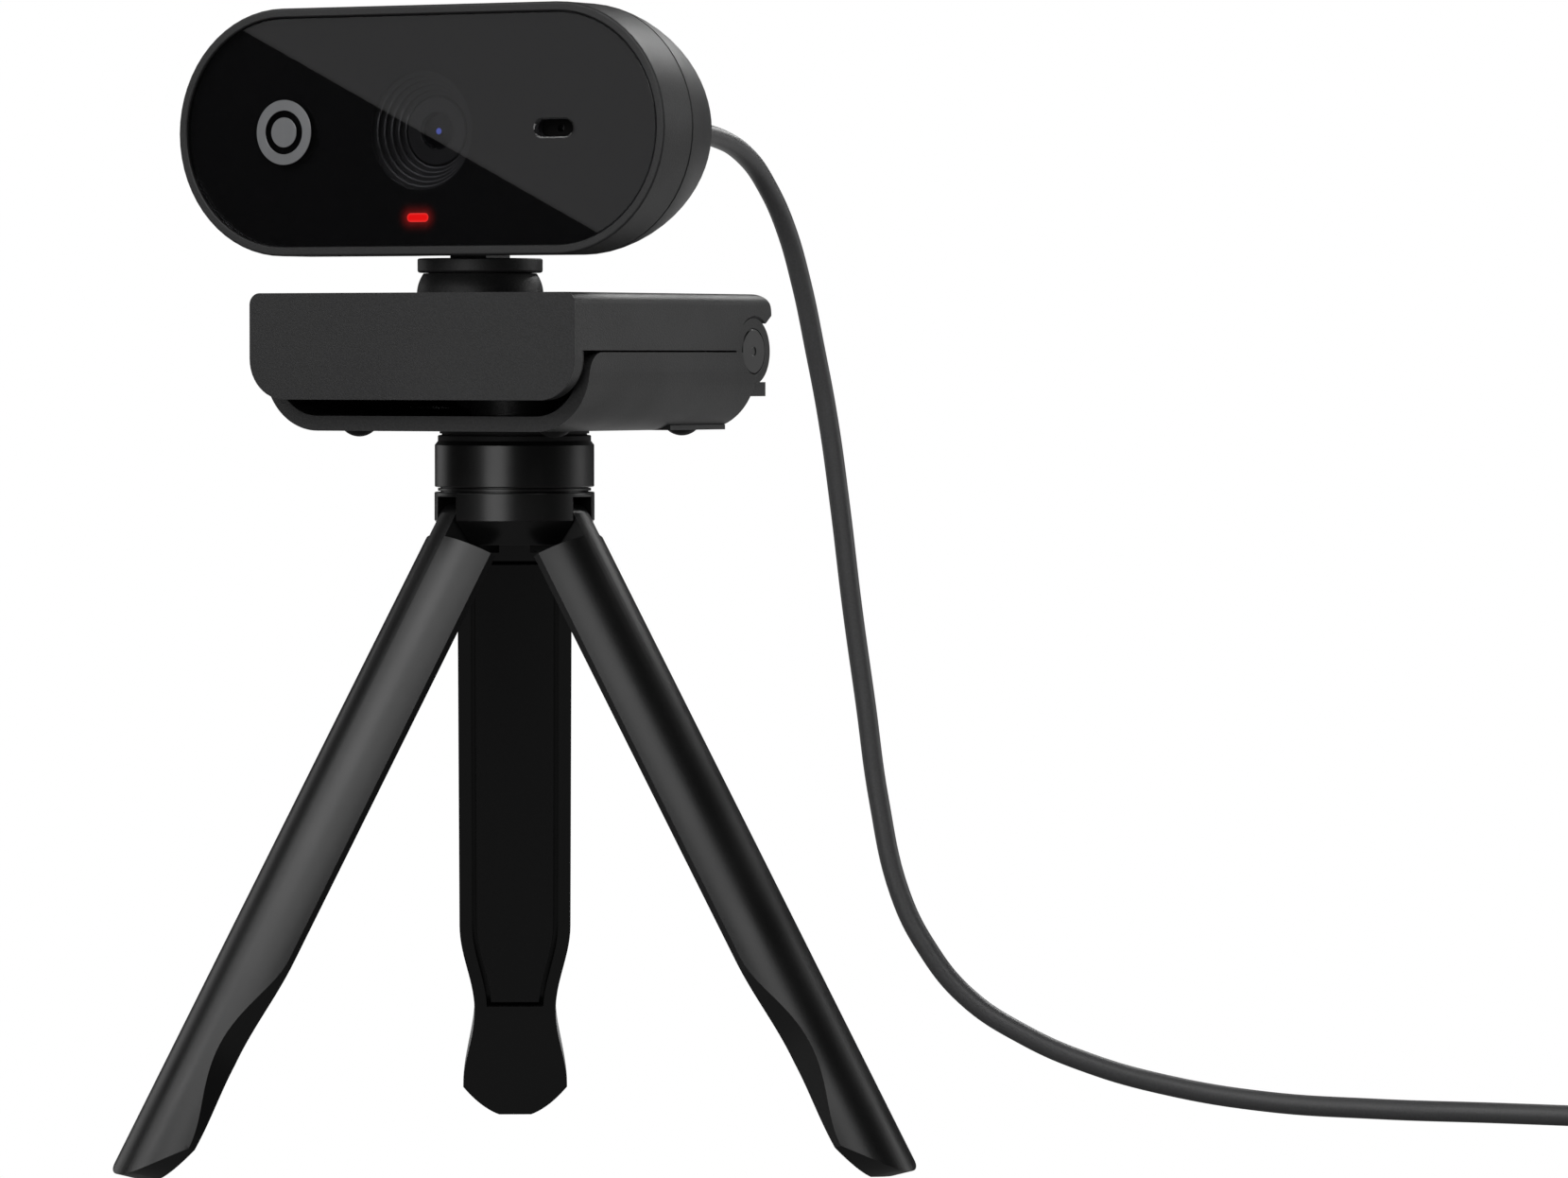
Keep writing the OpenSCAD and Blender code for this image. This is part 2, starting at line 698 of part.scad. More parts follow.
// The leg's outline between two distances below the pin, drawn in by inset
function leg_outline(from, to, inset) = let (
    places = concat([from], [for (s = [max(from + 1.5, waist_top):2:to - 0.5]) s], [to]),
    half = [for (s = places) leg_half(s) - inset],
    n = len(places) - 1)
    concat([for (i = [0:n]) [half[i], -places[i]]], [for (i = [n:-1:0]) [-half[i], -places[i]]]);

// The foot's blunt nose, cut square to a sole that leans out from the leg
module foot_nose() {
    wide = foot_half_w + 2;
    translate([leg_inner - pin_r, 0, -leg_length]) rotate([0, sole_tilt, 0]) translate([0, 0, leg_length])
        bar(-leg_r, leg_r) union() {
            polygon(leg_outline(foot_wide, leg_length, 0));
            polygon([[wide, -foot_wide], [wide, 12 - foot_wide], [-wide, 12 - foot_wide], [-wide, -foot_wide]]);
        }
}

// A leg: an arc-backed bar with a flat inside, a knuckle on top and a paddle foot
module leg(i) {
    color(satin_black) difference() {
        open_leg(i) difference() {
            intersection() {
                translate([leg_arc_at - pin_r, 0, -leg_length - 1]) cylinder(r = leg_arc_r, h = leg_length + 8);
                union() {
                    bar(leg_inner - pin_r, leg_r) polygon(leg_outline(leg_shoulder, foot_wide, 0));
                    intersection() {
                        translate([leg_inner - pin_r, -foot_half_w, -leg_length - 3])
                            cube([10, 2 * foot_half_w, leg_length + 3.01 - foot_wide]);
                        foot_nose();
                    }
                    translate([leg_inner - pin_r, -neck_w / 2, -leg_shoulder - 2]) cube([10, neck_w, leg_shoulder + 2]);
                    translate([0, neck_w / 2, 0]) rotate([90, 0, 0]) cylinder(r = knuckle_leg_r, h = neck_w);
                }
            }
            translate([0, neck_w, 0]) rotate([90, 0, 0]) cylinder(r = leg_pin_r + 0.05, h = 2 * neck_w);
            bar(leg_inner - pin_r - 1, leg_inner - pin_r + panel_t)
                polygon(leg_outline(leg_shoulder + 1.6, panel_end + panel_gap, leg_rim));
            slab(-leg_r, leg_r) polygon([[leg_inner - pin_r - 1, -waist_mid - 1], [leg_inner - pin_r, -waist_mid - 1],
                [leg_inner - pin_r + foot_thin, -leg_length], [leg_inner - pin_r + foot_thin, -leg_length - 4],
                [leg_inner - pin_r - 1, -leg_length - 4]]);
        }
        translate([-200, -200, -20]) cube([400, 400, 20]);
    }
}

module leg_panel(i) {
    color([0.13, 0.13, 0.135]) open_leg(i)
        bar(leg_inner - pin_r, leg_inner - pin_r + panel_t)
            polygon(leg_outline(leg_shoulder + 1.6 + panel_gap, panel_end, leg_rim + panel_gap));
}

module leg_right() { leg(0); }
module leg_rear() { leg(1); }
module leg_left() { leg(2); }
module leg_panel_right() { leg_panel(0); }
module leg_panel_rear() { leg_panel(1); }
module leg_panel_left() { leg_panel(2); }

// ---------- lead ----------

// Smooth curve through four route points, at t between the middle two
function smooth(a, b, c, d, t) =
    0.5 * (2 * b + (c - a) * t + (2 * a - 5 * b + 4 * c - d) * t * t + (3 * b - a - 3 * c + d) * t * t * t);

function route_line(p) = let (n = len(p) - 1) concat(
    [for (i = [0:n - 1], k = [0:route_steps - 1])
        smooth(p[max(i - 1, 0)], p[i], p[i + 1], p[min(i + 2, n)], k / route_steps)],
    [p[n]]);

module tube(line, r, sides) {
    n = len(line) - 1;
    along = [for (i = [0:n]) let (d = line[min(i + 1, n)] - line[max(i - 1, 0)]) d / norm(d)];
    rings = [for (i = [0:n]) let (
        u = cross(along[i], [1, 1, 1]) / norm(cross(along[i], [1, 1, 1])),
        v = cross(along[i], u))
        for (k = [0:sides - 1]) let (a = 360 * k / sides) line[i] + r * (cos(a) * u + sin(a) * v)];
    walls = [for (i = [0:n - 1], k = [0:sides - 1]) let (m = (k + 1) % sides)
        for (f = [[i * sides + k, i * sides + m, (i + 1) * sides + m],
                  [i * sides + k, (i + 1) * sides + m, (i + 1) * sides + k]]) [f[0], f[2], f[1]]];
    polyhedron(rings, concat(walls, [[for (k = [0:sides - 1]) k]],
        [[for (k = [sides - 1:-1:0]) n * sides + k]]));
}

module cord() {
    color(rubber_black) tube(route_line(cord_route), cord_d / 2, cord_sides);
}

module cord_coil() {
    color(rubber_black) translate([coil_x, coil_y, coil_z]) rotate_extrude()
        translate([coil_mid_r - coil_half, 0]) square(2 * coil_half);
}

module cord_tie() {
    color([0.15, 0.15, 0.15]) translate([coil_x, coil_y - coil_mid_r, coil_z + coil_half])
        difference() {
            translate([-3, -coil_half - 0.7, -coil_half - 0.5])
                cube([6, 2 * coil_half + 1.4, 2 * coil_half + 1]);
            translate([-4, -coil_half - 0.25, -coil_half]) cube([8, 2 * coil_half + 0.7, 2 * coil_half]);
        }
}

module usb_plug() {
    color(rubber_black) translate([plug_x, plug_tail_y, plug_z]) {
        rotate([90, 0, 0]) cylinder(r1 = 2.3, r2 = 3.2, h = 12);
        slab(-35.5, -11.5) jaw_front(15, -3.8, 3.8, 1.6, 1.6);
    }
}

module usb_shell() {
    color(steel) translate([plug_x, plug_tail_y, plug_z]) difference() {
        translate([-6, -54, -2.25]) cube([12, 18.5, 4.5]);
        translate([-5.7, -55, -1.95]) cube([11.4, 12, 1.9]);
    }
}

hub();
hub_base();
leg_pins();
friction_ring();
leg_right();
leg_rear();
leg_left();
leg_panel_right();
leg_panel_rear();
leg_panel_left();
pan_collar();
pan_screw();
camera_screw();
top_pad();
lower_jaw();
thread_insert();
jaw_bumps();
hinge_pin();
hinge_caps();
upper_jaw();
jaw_pad();
lip_pad();
swivel_base();
swivel_screw();
neck_disc();
tilt_pin();
front_bezel();
front_glass();
glass_mask();
badge();
lens_well();
lens_barrel();
lens_glass();
lens_holder();
image_sensor();
camera_board();
status_led();
mic_gasket();
microphone();
rear_shell();
housing_screws();
strain_relief();
cord();
cord_coil();
cord_tie();
usb_plug();
usb_shell();
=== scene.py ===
"""A stadium-shaped webcam with a screen clip, on a folding pocket tripod, and its USB lead.

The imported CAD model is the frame. Each piece here stands for one of its nodes and rides on
that node's body. Shapes are worked out in millimetres, in the frame's own axes: the webcam
looks along -Y and +Z is up. They are scaled to metres once, when a mesh is made.
"""
import json
import math

import bmesh
import bpy
from mathutils import Matrix, Vector


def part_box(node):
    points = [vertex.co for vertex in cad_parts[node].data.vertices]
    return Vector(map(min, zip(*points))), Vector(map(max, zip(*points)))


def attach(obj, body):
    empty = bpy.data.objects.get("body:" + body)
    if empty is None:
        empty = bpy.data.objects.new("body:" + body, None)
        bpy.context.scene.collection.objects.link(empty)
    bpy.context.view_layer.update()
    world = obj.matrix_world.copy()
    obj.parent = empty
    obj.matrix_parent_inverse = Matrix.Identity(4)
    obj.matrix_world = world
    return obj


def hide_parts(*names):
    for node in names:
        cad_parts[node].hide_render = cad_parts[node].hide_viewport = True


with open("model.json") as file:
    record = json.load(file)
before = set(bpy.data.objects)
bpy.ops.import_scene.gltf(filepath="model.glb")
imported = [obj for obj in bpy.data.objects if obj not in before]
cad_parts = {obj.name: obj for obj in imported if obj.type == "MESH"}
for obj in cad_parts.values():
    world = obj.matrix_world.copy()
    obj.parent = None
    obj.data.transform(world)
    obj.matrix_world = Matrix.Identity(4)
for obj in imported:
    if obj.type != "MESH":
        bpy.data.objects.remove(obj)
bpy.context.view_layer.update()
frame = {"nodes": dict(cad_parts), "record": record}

MM = 0.001
collection = bpy.context.scene.collection


# ---------- sizes, from the frame ----------

def corners(node):
    """The lowest and highest corner of a CAD node, in millimetres."""
    low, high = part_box(node)
    return low / MM, high / MM


bezel_low, bezel_high = corners("front_bezel")
shell_low, shell_high = corners("rear_shell")
glass_low, glass_high = corners("front_glass")
mask_low, mask_high = corners("glass_mask")
disc_low, disc_high = corners("neck_disc")
flare_low, flare_high = corners("swivel_base")
tilt_low, tilt_high = corners("tilt_pin")
upper_low, upper_high = corners("upper_jaw")
lower_low, lower_high = corners("lower_jaw")
hinge_low, hinge_high = corners("hinge_pin")
collar_low, collar_high = corners("pan_collar")
ring_low, ring_high = corners("friction_ring")
hub_high = corners("hub")[1]
base_low, base_high = corners("hub_base")
relief_low, relief_high = corners("strain_relief")
coil_low, coil_high = corners("cord_coil")
tail_low, tail_high = corners("usb_plug")
plug_low, plug_high = corners("usb_shell")
led_low, led_high = corners("status_led")
badge_low, badge_high = corners("badge")

HEAD_W = bezel_high.x - bezel_low.x
HEAD_H = bezel_high.z - bezel_low.z
HEAD_Z = (bezel_high.z + bezel_low.z) / 2
FACE_Y = bezel_low.y
BAND_Y = shell_low.y
BACK_Y = shell_high.y
NECK_Y = (flare_low.y + flare_high.y) / 2
TILT_Z = (tilt_low.z + tilt_high.z) / 2
CLIP_HALF_W = upper_high.x
CLIP_TOP = upper_high.z
CLIP_BOTTOM = lower_low.z
LIP_Y = upper_low.y
LIP_BOTTOM = upper_low.z
TAIL_Y = upper_high.y
JAW_FRONT_Y = lower_low.y
HINGE_Y = (hinge_low.y + hinge_high.y) / 2
HINGE_Z = (hinge_low.z + hinge_high.z) / 2
HUB_R = hub_high.x
LED_MIDDLE = (led_low + led_high) / 2
CORD_D = 3.5


# ---------- camera ----------

AZIMUTH = math.radians(31.8)
EYE_DISTANCE = 1.240
EYE_HEIGHT = 0.1295
TURN_RIGHT = math.radians(2.016)
LOOK_DOWN = math.radians(1.74)
LENS = 175.77

into = Vector((-math.sin(AZIMUTH), math.cos(AZIMUTH), 0))
across = Vector((math.cos(AZIMUTH), math.sin(AZIMUTH), 0))
eye = -into * EYE_DISTANCE + Vector((0, 0, EYE_HEIGHT))


def add_camera():
    """The camera stands to the webcam's own left and looks a little down."""
    data = bpy.data.cameras.new("camera")
    data.lens = LENS
    data.sensor_width = 36
    camera = bpy.data.objects.new("camera", data)
    level = into * math.cos(TURN_RIGHT) + across * math.sin(TURN_RIGHT)
    gaze = level * math.cos(LOOK_DOWN) - Vector((0, 0, math.sin(LOOK_DOWN)))
    camera.location = eye
    camera.rotation_euler = gaze.to_track_quat("-Z", "Y").to_euler()
    collection.objects.link(camera)
    bpy.context.scene.camera = camera


add_camera()


# ---------- materials ----------

def principled(name, colour, roughness, sockets=None):
    """A material with one Principled shader; returns the material and that shader."""
    material = bpy.data.materials.new(name)
    material.use_nodes = True
    shader = material.node_tree.nodes["Principled BSDF"]
    shader.inputs["Base Color"].default_value = (*colour, 1)
    shader.inputs["Roughness"].default_value = roughness
    for socket, value in (sockets or {}).items():
        shader.inputs[socket].default_value = value
    return material, shader


def add_node(material, kind, inputs=None, operation=None):
    """Adds a node; each input gets a value, or a link from another node's output."""
    tree = material.node_tree
    node = tree.nodes.new(kind)
    if operation:
        node.operation = operation
    for socket, value in (inputs or {}).items():
        if isinstance(value, bpy.types.NodeSocket):
            tree.links.new(value, node.inputs[socket])
        else:
            node.inputs[socket].default_value = value
    return node


def math_node(material, operation, *values):
    return add_node(material, "ShaderNodeMath", dict(enumerate(values)), operation).outputs[0]


def object_space(material):
    return add_node(material, "ShaderNodeTexCoord").outputs["Object"]


def noise(material, scale, detail=3.0, stretch=(1, 1, 1)):
    """A noise pattern in object space, whose scale is in cells per metre."""
    place = add_node(material, "ShaderNodeMapping", {"Scale": stretch, "Vector": object_space(material)})
    settings = {"Scale": scale, "Detail": detail, "Vector": place.outputs["Vector"]}
    return add_node(material, "ShaderNodeTexNoise", settings).outputs["Fac"]


def map_range(material, value, start, end, low, high):
    """Takes start..end to low..high, and holds what lies outside at the nearer end."""
    settings = {"Value": value, "From Min": start, "From Max": end, "To Min": low, "To Max": high}
    return add_node(material, "ShaderNodeMapRange", settings).outputs["Result"]


def spread(material, value, low, high):
    """Takes a noise pattern, which mostly lies in 0.3..0.7, to low..high."""
    return map_range(material, value, 0.3, 0.7, low, high)


def tint(material, value, first, second):
    """Mixes two colours by a pattern; a mix node's colours are its inputs 6 and 7 and output 2."""
    node = add_node(material, "ShaderNodeMix", {"Factor": value, 6: (*first, 1), 7: (*second, 1)})
    node.data_type = "RGBA"
    return node.outputs[2]


def bump(material, shader, value, depth):
    """Raises the surface by a pattern, depth in metres."""
    node = add_node(material, "ShaderNodeBump", {"Distance": depth, "Height": value})
    material.node_tree.links.new(node.outputs["Normal"], shader.inputs["Normal"])


def bare(name):
    """A material without a shader, and the socket that its shader goes to."""
    material = bpy.data.materials.new(name)
    material.use_nodes = True
    nodes = material.node_tree.nodes
    nodes.remove(nodes["Principled BSDF"])
    return material, nodes["Material Output"].inputs["Surface"]


def moulded(name, dark, light, rough, grain, depth, sockets=None):
    """Moulded plastic: a fine grain in shade and relief, and a faint broad unevenness in gloss."""
    material, shader = principled(name, dark, rough[0], sockets)
    links = material.node_tree.links
    broad = noise(material, 55, 2)
    fine = noise(material, grain, 4)
    links.new(tint(material, spread(material, fine, 0, 1), dark, light), shader.inputs["Base Color"])
    links.new(spread(material, broad, *rough), shader.inputs["Roughness"])
    bump(material, shader, fine, depth)
    return material


def metal(name, colour, roughness, grain=(1, 1, 1)):
    """Metal with fine drawn or turned lines along one axis."""
    material, shader = principled(name, colour, roughness, {"Metallic": 1.0})
    lines = noise(material, 2500, 3, grain)
    uneven, depth = 0.03, 0.0000015
    result = spread(material, lines, roughness - uneven, roughness + uneven)
    material.node_tree.links.new(result, shader.inputs["Roughness"])
    bump(material, shader, lines, depth)
    return material


# How much light one surface of the smoked front plate lets through, for red, green and blue
SMOKE = (0.6, 0.6, 0.61)
# What one surface of the plate reflects, seen head on
HEAD_ON = 0.045
# How strongly the status light glows, and the painted red glow on the print round it, as seen through the
# plate
LIGHT_GLOW = 0.95
PRINT_PAINTED_GLOW = 0.13


def smoked_plate():
    """The smoked front plate: it reflects by its angle and dims what lies behind it."""
    material, surface = bare("front_glass")
    facing = add_node(material, "ShaderNodeLayerWeight", {"Blend": 0.5}).outputs["Facing"]
    steep = math_node(material, "POWER", facing, 5)
    share = math_node(material, "MULTIPLY_ADD", steep, 1 - HEAD_ON, HEAD_ON)
    clear = add_node(material, "ShaderNodeBsdfTransparent", {"Color": (*SMOKE, 1)}).outputs["BSDF"]
    gloss = add_node(material, "ShaderNodeBsdfGlossy", {"Roughness": 0.0}).outputs["BSDF"]
    mix = add_node(material, "ShaderNodeMixShader", {"Fac": share, 1: clear, 2: gloss})
    material.node_tree.links.new(mix.outputs["Shader"], surface)
    return material


def distance_from_light(material):
    """How far a point is from the status light's pill, in millimetres."""
    half = (led_high.x - led_low.x) / 2 - (led_high.z - led_low.z) / 2
    split = add_node(material, "ShaderNodeSeparateXYZ", {0: object_space(material)})
    sideways = math_node(material, "SUBTRACT", split.outputs["X"], LED_MIDDLE.x * MM)
    along = math_node(material, "SUBTRACT", math_node(material, "ABSOLUTE", sideways), half * MM)
    along = math_node(material, "MAXIMUM", along, 0.0)
    above = math_node(material, "SUBTRACT", split.outputs["Z"], LED_MIDDLE.z * MM)
    squares = [math_node(material, "MULTIPLY", side, side) for side in (along, above)]
    reach = math_node(material, "SQRT", math_node(material, "ADD", *squares))
    return math_node(material, "DIVIDE", reach, MM)


def fall_off(material, distance, near, far, power):
    """1 where the distance is at most near, easing to 0 at far."""
    return math_node(material, "POWER", map_range(material, distance, near, far, 1, 0), power)


def black_print_with_painted_glow():
    """Black print behind the plate, with a painted soft red glow round the status light."""
    material, shader = principled("mask", (0.02, 0.02, 0.021), 0.35, {"Specular IOR Level": 0.2})
    shader.inputs["Emission Color"].default_value = (1.0, 0.035, 0.03, 1)
    # Painted light: the print emits red light that fades with distance from the status light, standing in
    # for that light spreading behind the plate
    glow = fall_off(material, distance_from_light(material), 0.7, 3.0, 3.2)
    strength = math_node(material, "MULTIPLY", glow, PRINT_PAINTED_GLOW / SMOKE[0] ** 2)
    material.node_tree.links.new(strength, shader.inputs["Emission Strength"])
    return material


def light_window():
    """The lit red window: full red in the middle, paler at its rim."""
    material, shader = principled("status_light", (0.4, 0.01, 0.01), 0.3)
    edge = fall_off(material, distance_from_light(material), 0.35, 0.75, 1.0)
    colour = tint(material, edge, (0.86, 0.045, 0.038), (0.80, 0.004, 0.004))
    material.node_tree.links.new(colour, shader.inputs["Emission Color"])
    shader.inputs["Emission Strength"].default_value = LIGHT_GLOW / SMOKE[0] ** 2
    return material


def circuit_board():
    """Green board with a fine angular pattern of tracks."""
    plain, copper = (0.01, 0.09, 0.05), (0.02, 0.16, 0.09)
    material, shader = principled("board", plain, 0.4)
    tracks = add_node(material, "ShaderNodeTexVoronoi", {"Scale": 500, "Vector": object_space(material)})
    tracks.distance = "CHEBYCHEV"
    colour = tint(material, tracks.outputs["Distance"], plain, copper)
    material.node_tree.links.new(colour, shader.inputs["Base Color"])
    return material


MATERIALS = {
    "tripod_plastic": moulded("tripod_plastic", (0.0028, 0.0028, 0.0029), (0.004, 0.004, 0.0041),
                              (0.29, 0.34), 5200, 0.000005, {"Specular IOR Level": 0.5}),
    "panel_plastic": moulded("panel_plastic", (0.005, 0.005, 0.0052), (0.008, 0.008, 0.0082),
                             (0.44, 0.52), 4200, 0.00001, {"Specular IOR Level": 0.4}),
    "matte_plastic": moulded("matte_plastic", (0.014, 0.014, 0.0145), (0.024, 0.024, 0.0245),
                             (0.46, 0.54), 3600, 0.00003, {"Specular IOR Level": 0.45}),
    "rubber": moulded("rubber", (0.005, 0.005, 0.005), (0.008, 0.008, 0.008),
                      (0.62, 0.72), 2600, 0.00002, {"Specular IOR Level": 0.35}),
    "steel": metal("steel", (0.55, 0.56, 0.58), 0.26, (1, 0.05, 1)),
    "brass": metal("brass", (0.72, 0.5, 0.2), 0.28, (1, 1, 0.05)),
    "front_glass": smoked_plate(),
    "mask": black_print_with_painted_glow(),
    "badge_metal": metal("badge_metal", (0.33, 0.335, 0.345), 0.36, (1, 1, 0.03)),
    "lens_glass": moulded("lens_glass", (0.006, 0.006, 0.008), (0.010, 0.010, 0.013),
                          (0.05, 0.09), 300, 0.0, {"Coat Weight": 0.4, "Coat Roughness": 0.05}),
    "sensor": moulded("sensor", (0.02, 0.02, 0.05), (0.05, 0.03, 0.08), (0.1, 0.2), 900, 0.0),
    "board": circuit_board(),
    "led": light_window(),
    "cord_jacket": moulded("cord_jacket", (0.062, 0.062, 0.063), (0.078, 0.078, 0.080),
                           (0.42, 0.5), 3000, 0.000004, {"Specular IOR Level": 0.5}),
}
lens_black = moulded("lens_black", (0.055, 0.055, 0.056), (0.07, 0.07, 0.071),
                     (0.22, 0.27), 6000, 0.000002, {"Specular IOR Level": 1.0})
# Painted glint: a small blue core that emits light in place of the lens coating's reflection
painted_glint_core = moulded("painted_glint_core", (0.03, 0.035, 0.22), (0.05, 0.06, 0.34), (0.12, 0.2), 900, 0.0,
                      {"Emission Color": (0.1, 0.14, 0.6, 1), "Emission Strength": 1.3})
deep_black = principled("deep_black", (0.001, 0.001, 0.001), 0.7, {"Specular IOR Level": 0.08})[0]
strap = moulded("strap", (0.012, 0.012, 0.012), (0.03, 0.03, 0.03), (0.8, 0.9), 2200, 0.00015)

BODY_OF = {node: body for body, nodes in frame["record"]["behaviour"]["bodies"].items() for node in nodes}
SLOT_OF = {part["node"]: part["material_slot"] for part in frame["record"]["subparts"]}


# ---------- shapes ----------

def solid(points, faces):
    """A mesh object from points in millimetres, its faces turned outwards."""
    mesh = bpy.data.meshes.new("piece")
    mesh.from_pydata([Vector(point) * MM for point in points], [], faces)
    work = bmesh.new()
    work.from_mesh(mesh)
    bmesh.ops.recalc_face_normals(work, faces=work.faces)
    work.to_mesh(mesh)
    work.free()
    piece = bpy.data.objects.new("piece", mesh)
    collection.objects.link(piece)
    return piece


def loft(rings, closed=False):
    """Skins a row of rings with the same number of points; closed joins the last to the first."""
    count = len(rings[0])
    points = [point for ring in rings for point in ring]
    faces = []
    for i in range(len(rings) if closed else len(rings) - 1):
        here, there = i * count, (i + 1) % len(rings) * count
        for k in range(count):
            n = (k + 1) % count
            faces.append((here + k, here + n, there + n, there + k))
    if not closed:
        faces.append(tuple(range(count)))
        faces.append(tuple(range(len(points) - count, len(points))))
    return solid(points, faces)


def place_on(axis, u, v, w):
    """Puts a point of an outline at w along an axis."""
    return {"x": (w, u, v), "y": (u, w, v), "z": (u, v, w)}[axis]


def prism(outline, axis, start, end):
    """An outline drawn square to an axis, pulled from start to end."""
    return loft([[place_on(axis, u, v, w) for u, v in outline] for w in (start, end)])


def box(low, high):
    outline = [(low[0], low[1]), (high[0], low[1]), (high[0], high[1]), (low[0], high[1])]
    return prism(outline, "z", low[2], high[2])


def turned(profile, axis, centre, steps=96, closed=False):
    """Turns a profile of (radius, height) round an axis through a centre."""
    rings = []
    for radius, height in profile:
        ring = []
        for k in range(steps):
            angle = 2 * math.pi * k / steps
            u, v = radius * math.cos(angle), radius * math.sin(angle)
            ring.append(tuple(Vector(centre) + Vector(place_on(axis, u, v, height))))
        rings.append(ring)
    return loft(rings, closed)


def rod(axis, centre, radius, start, end, steps=64):
    return turned([(radius, start), (radius, end)], axis, centre, steps)


def arc(centre, radius, start, end, steps=8):
    """Points on an arc, its angles in degrees."""
    angles = [math.radians(start + (end - start) * i / steps) for i in range(steps + 1)]
    return [(centre[0] + radius * math.cos(a), centre[1] + radius * math.sin(a)) for a in angles]


def pill(width, height, steps=32):
    """The outline of a stadium about the origin."""
    radius, reach = height / 2, width / 2 - height / 2
    return arc((reach, 0), radius, -90, 90, steps) + arc((-reach, 0), radius, 90, 270, steps)


def moved(outline, across, up):
    return [(u + across, v + up) for u, v in outline]


def rounded(places, steps=8):
    """A closed outline through (u, v, radius) corners, each rounded by its radius."""
    outline = []
    for i, (u, v, radius) in enumerate(places):
        here = Vector((u, v))
        if radius == 0:
            outline.append((u, v))
            continue
        before = (Vector(places[i - 1][:2]) - here).normalized()
        after = (Vector(places[(i + 1) % len(places)][:2]) - here).normalized()
        half = before.angle(after) / 2
        centre = here + (before + after).normalized() * radius / math.sin(half)
        first = here + before * radius / math.tan(half) - centre
        last = here + after * radius / math.tan(half) - centre
        start = math.atan2(first.y, first.x)
        sweep = (math.atan2(last.y, last.x) - start + math.pi) % (2 * math.pi) - math.pi
        outline += arc(centre, radius, math.degrees(start), math.degrees(start + sweep), steps)
    return outline


def settle(piece):
    """Applies a piece's modifiers to its mesh."""
    bpy.context.view_layer.update()
    shaped = piece.evaluated_get(bpy.context.evaluated_depsgraph_get())
    mesh = bpy.data.meshes.new_from_object(shaped)
    piece.modifiers.clear()
    piece.data = mesh


def combine(piece, operation, others):
    for other in others:
        modifier = piece.modifiers.new("join", "BOOLEAN")
        modifier.operation = operation
        modifier.object = other
        modifier.solver = "EXACT"
    settle(piece)
    for other in others:
        bpy.data.objects.remove(other)
    return piece


def cut(piece, *others):
    return combine(piece, "DIFFERENCE", others)


def add(piece, *others):
    return combine(piece, "UNION", others)


def common(piece, *others):
    return combine(piece, "INTERSECT", others)


def gather(pieces):
    """One object from several separate meshes."""
    work = bmesh.new()
    for piece in pieces:
        work.from_mesh(piece.data)
        bpy.data.objects.remove(piece)
    mesh = bpy.data.meshes.new("piece")
    work.to_mesh(mesh)
    work.free()
    joined = bpy.data.objects.new("piece", mesh)
    collection.objects.link(joined)
    return joined


def soften(piece, width, angle=28, segments=3):
    """Rounds every edge sharper than the angle by a small width in millimetres."""
    weld = piece.modifiers.new("weld", "WELD")
    weld.merge_threshold = 0.002 * MM
    bevel = piece.modifiers.new("bevel", "BEVEL")
    bevel.width = width * MM
    bevel.segments = segments
    bevel.limit_method = "ANGLE"
    bevel.angle_limit = math.radians(angle)
    settle(piece)
    return piece


def smooth(piece, angle=32):
    piece.data.shade_smooth()
    piece.data.set_sharp_from_angle(angle=math.radians(angle))
    weighted = piece.modifiers.new("normals", "WEIGHTED_NORMAL")
    weighted.keep_sharp = True
    settle(piece)
    return piece


def fit(piece, name, node, material=None, stands_for=True):
    """Names a piece, gives it its material and ties it to a CAD node's body."""
    slot = SLOT_OF[node]
    piece.name = name
    piece.data.name = name
    piece.data.materials.clear()
    piece.data.materials.append(material or MATERIALS[slot])
    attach(piece, BODY_OF[node])
    if stands_for:
        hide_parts(node)
    return piece


# ---------- lead ----------

# Where the lead runs from the strain relief to its coil, in millimetres
CORD_ROUTE = (
    (0, 12, 166), (0, 24, 166), (0, 38, 166.6), (0, 53, 166.9),
    (0, 64.5, 166.5), (0, 75, 163.4), (0, 82, 158.5), (0.5, 87.5, 151.5), (1.5, 91.2, 142),
    (3, 93.2, 131), (5, 94.4, 118.5), (7.2, 94.6, 104), (9.8, 94.4, 86), (12.6, 94, 70),
    (15.5, 93.5, 53.5), (19.6, 93.6, 37.5), (24, 94.8, 28.5), (30.5, 97.3, 20), (40, 101, 13.4),
    (50, 105.2, 8.8), (62, 110.5, 5.2), (78, 116.5, 2.6), (96, 121.5, 1.8),
    (118, 125.4, 1.8), (143, 129, 1.8),
)
COIL_CENTRE = (coil_low + coil_high) / 2
COIL_MID_R = 19.0
# The angle at which the lead joins the coil, in degrees
COIL_ENTRY = 110
POINTS_A_TURN = 18
# The places in the bundle, across and up, that the turns take one after another
COIL_PLACES = ((2, -1), (1, -1), (0, -1), (-1, -1), (-1, 0), (-1, 1), (0, 0), (0, 1), (1, 1), (1, 0))


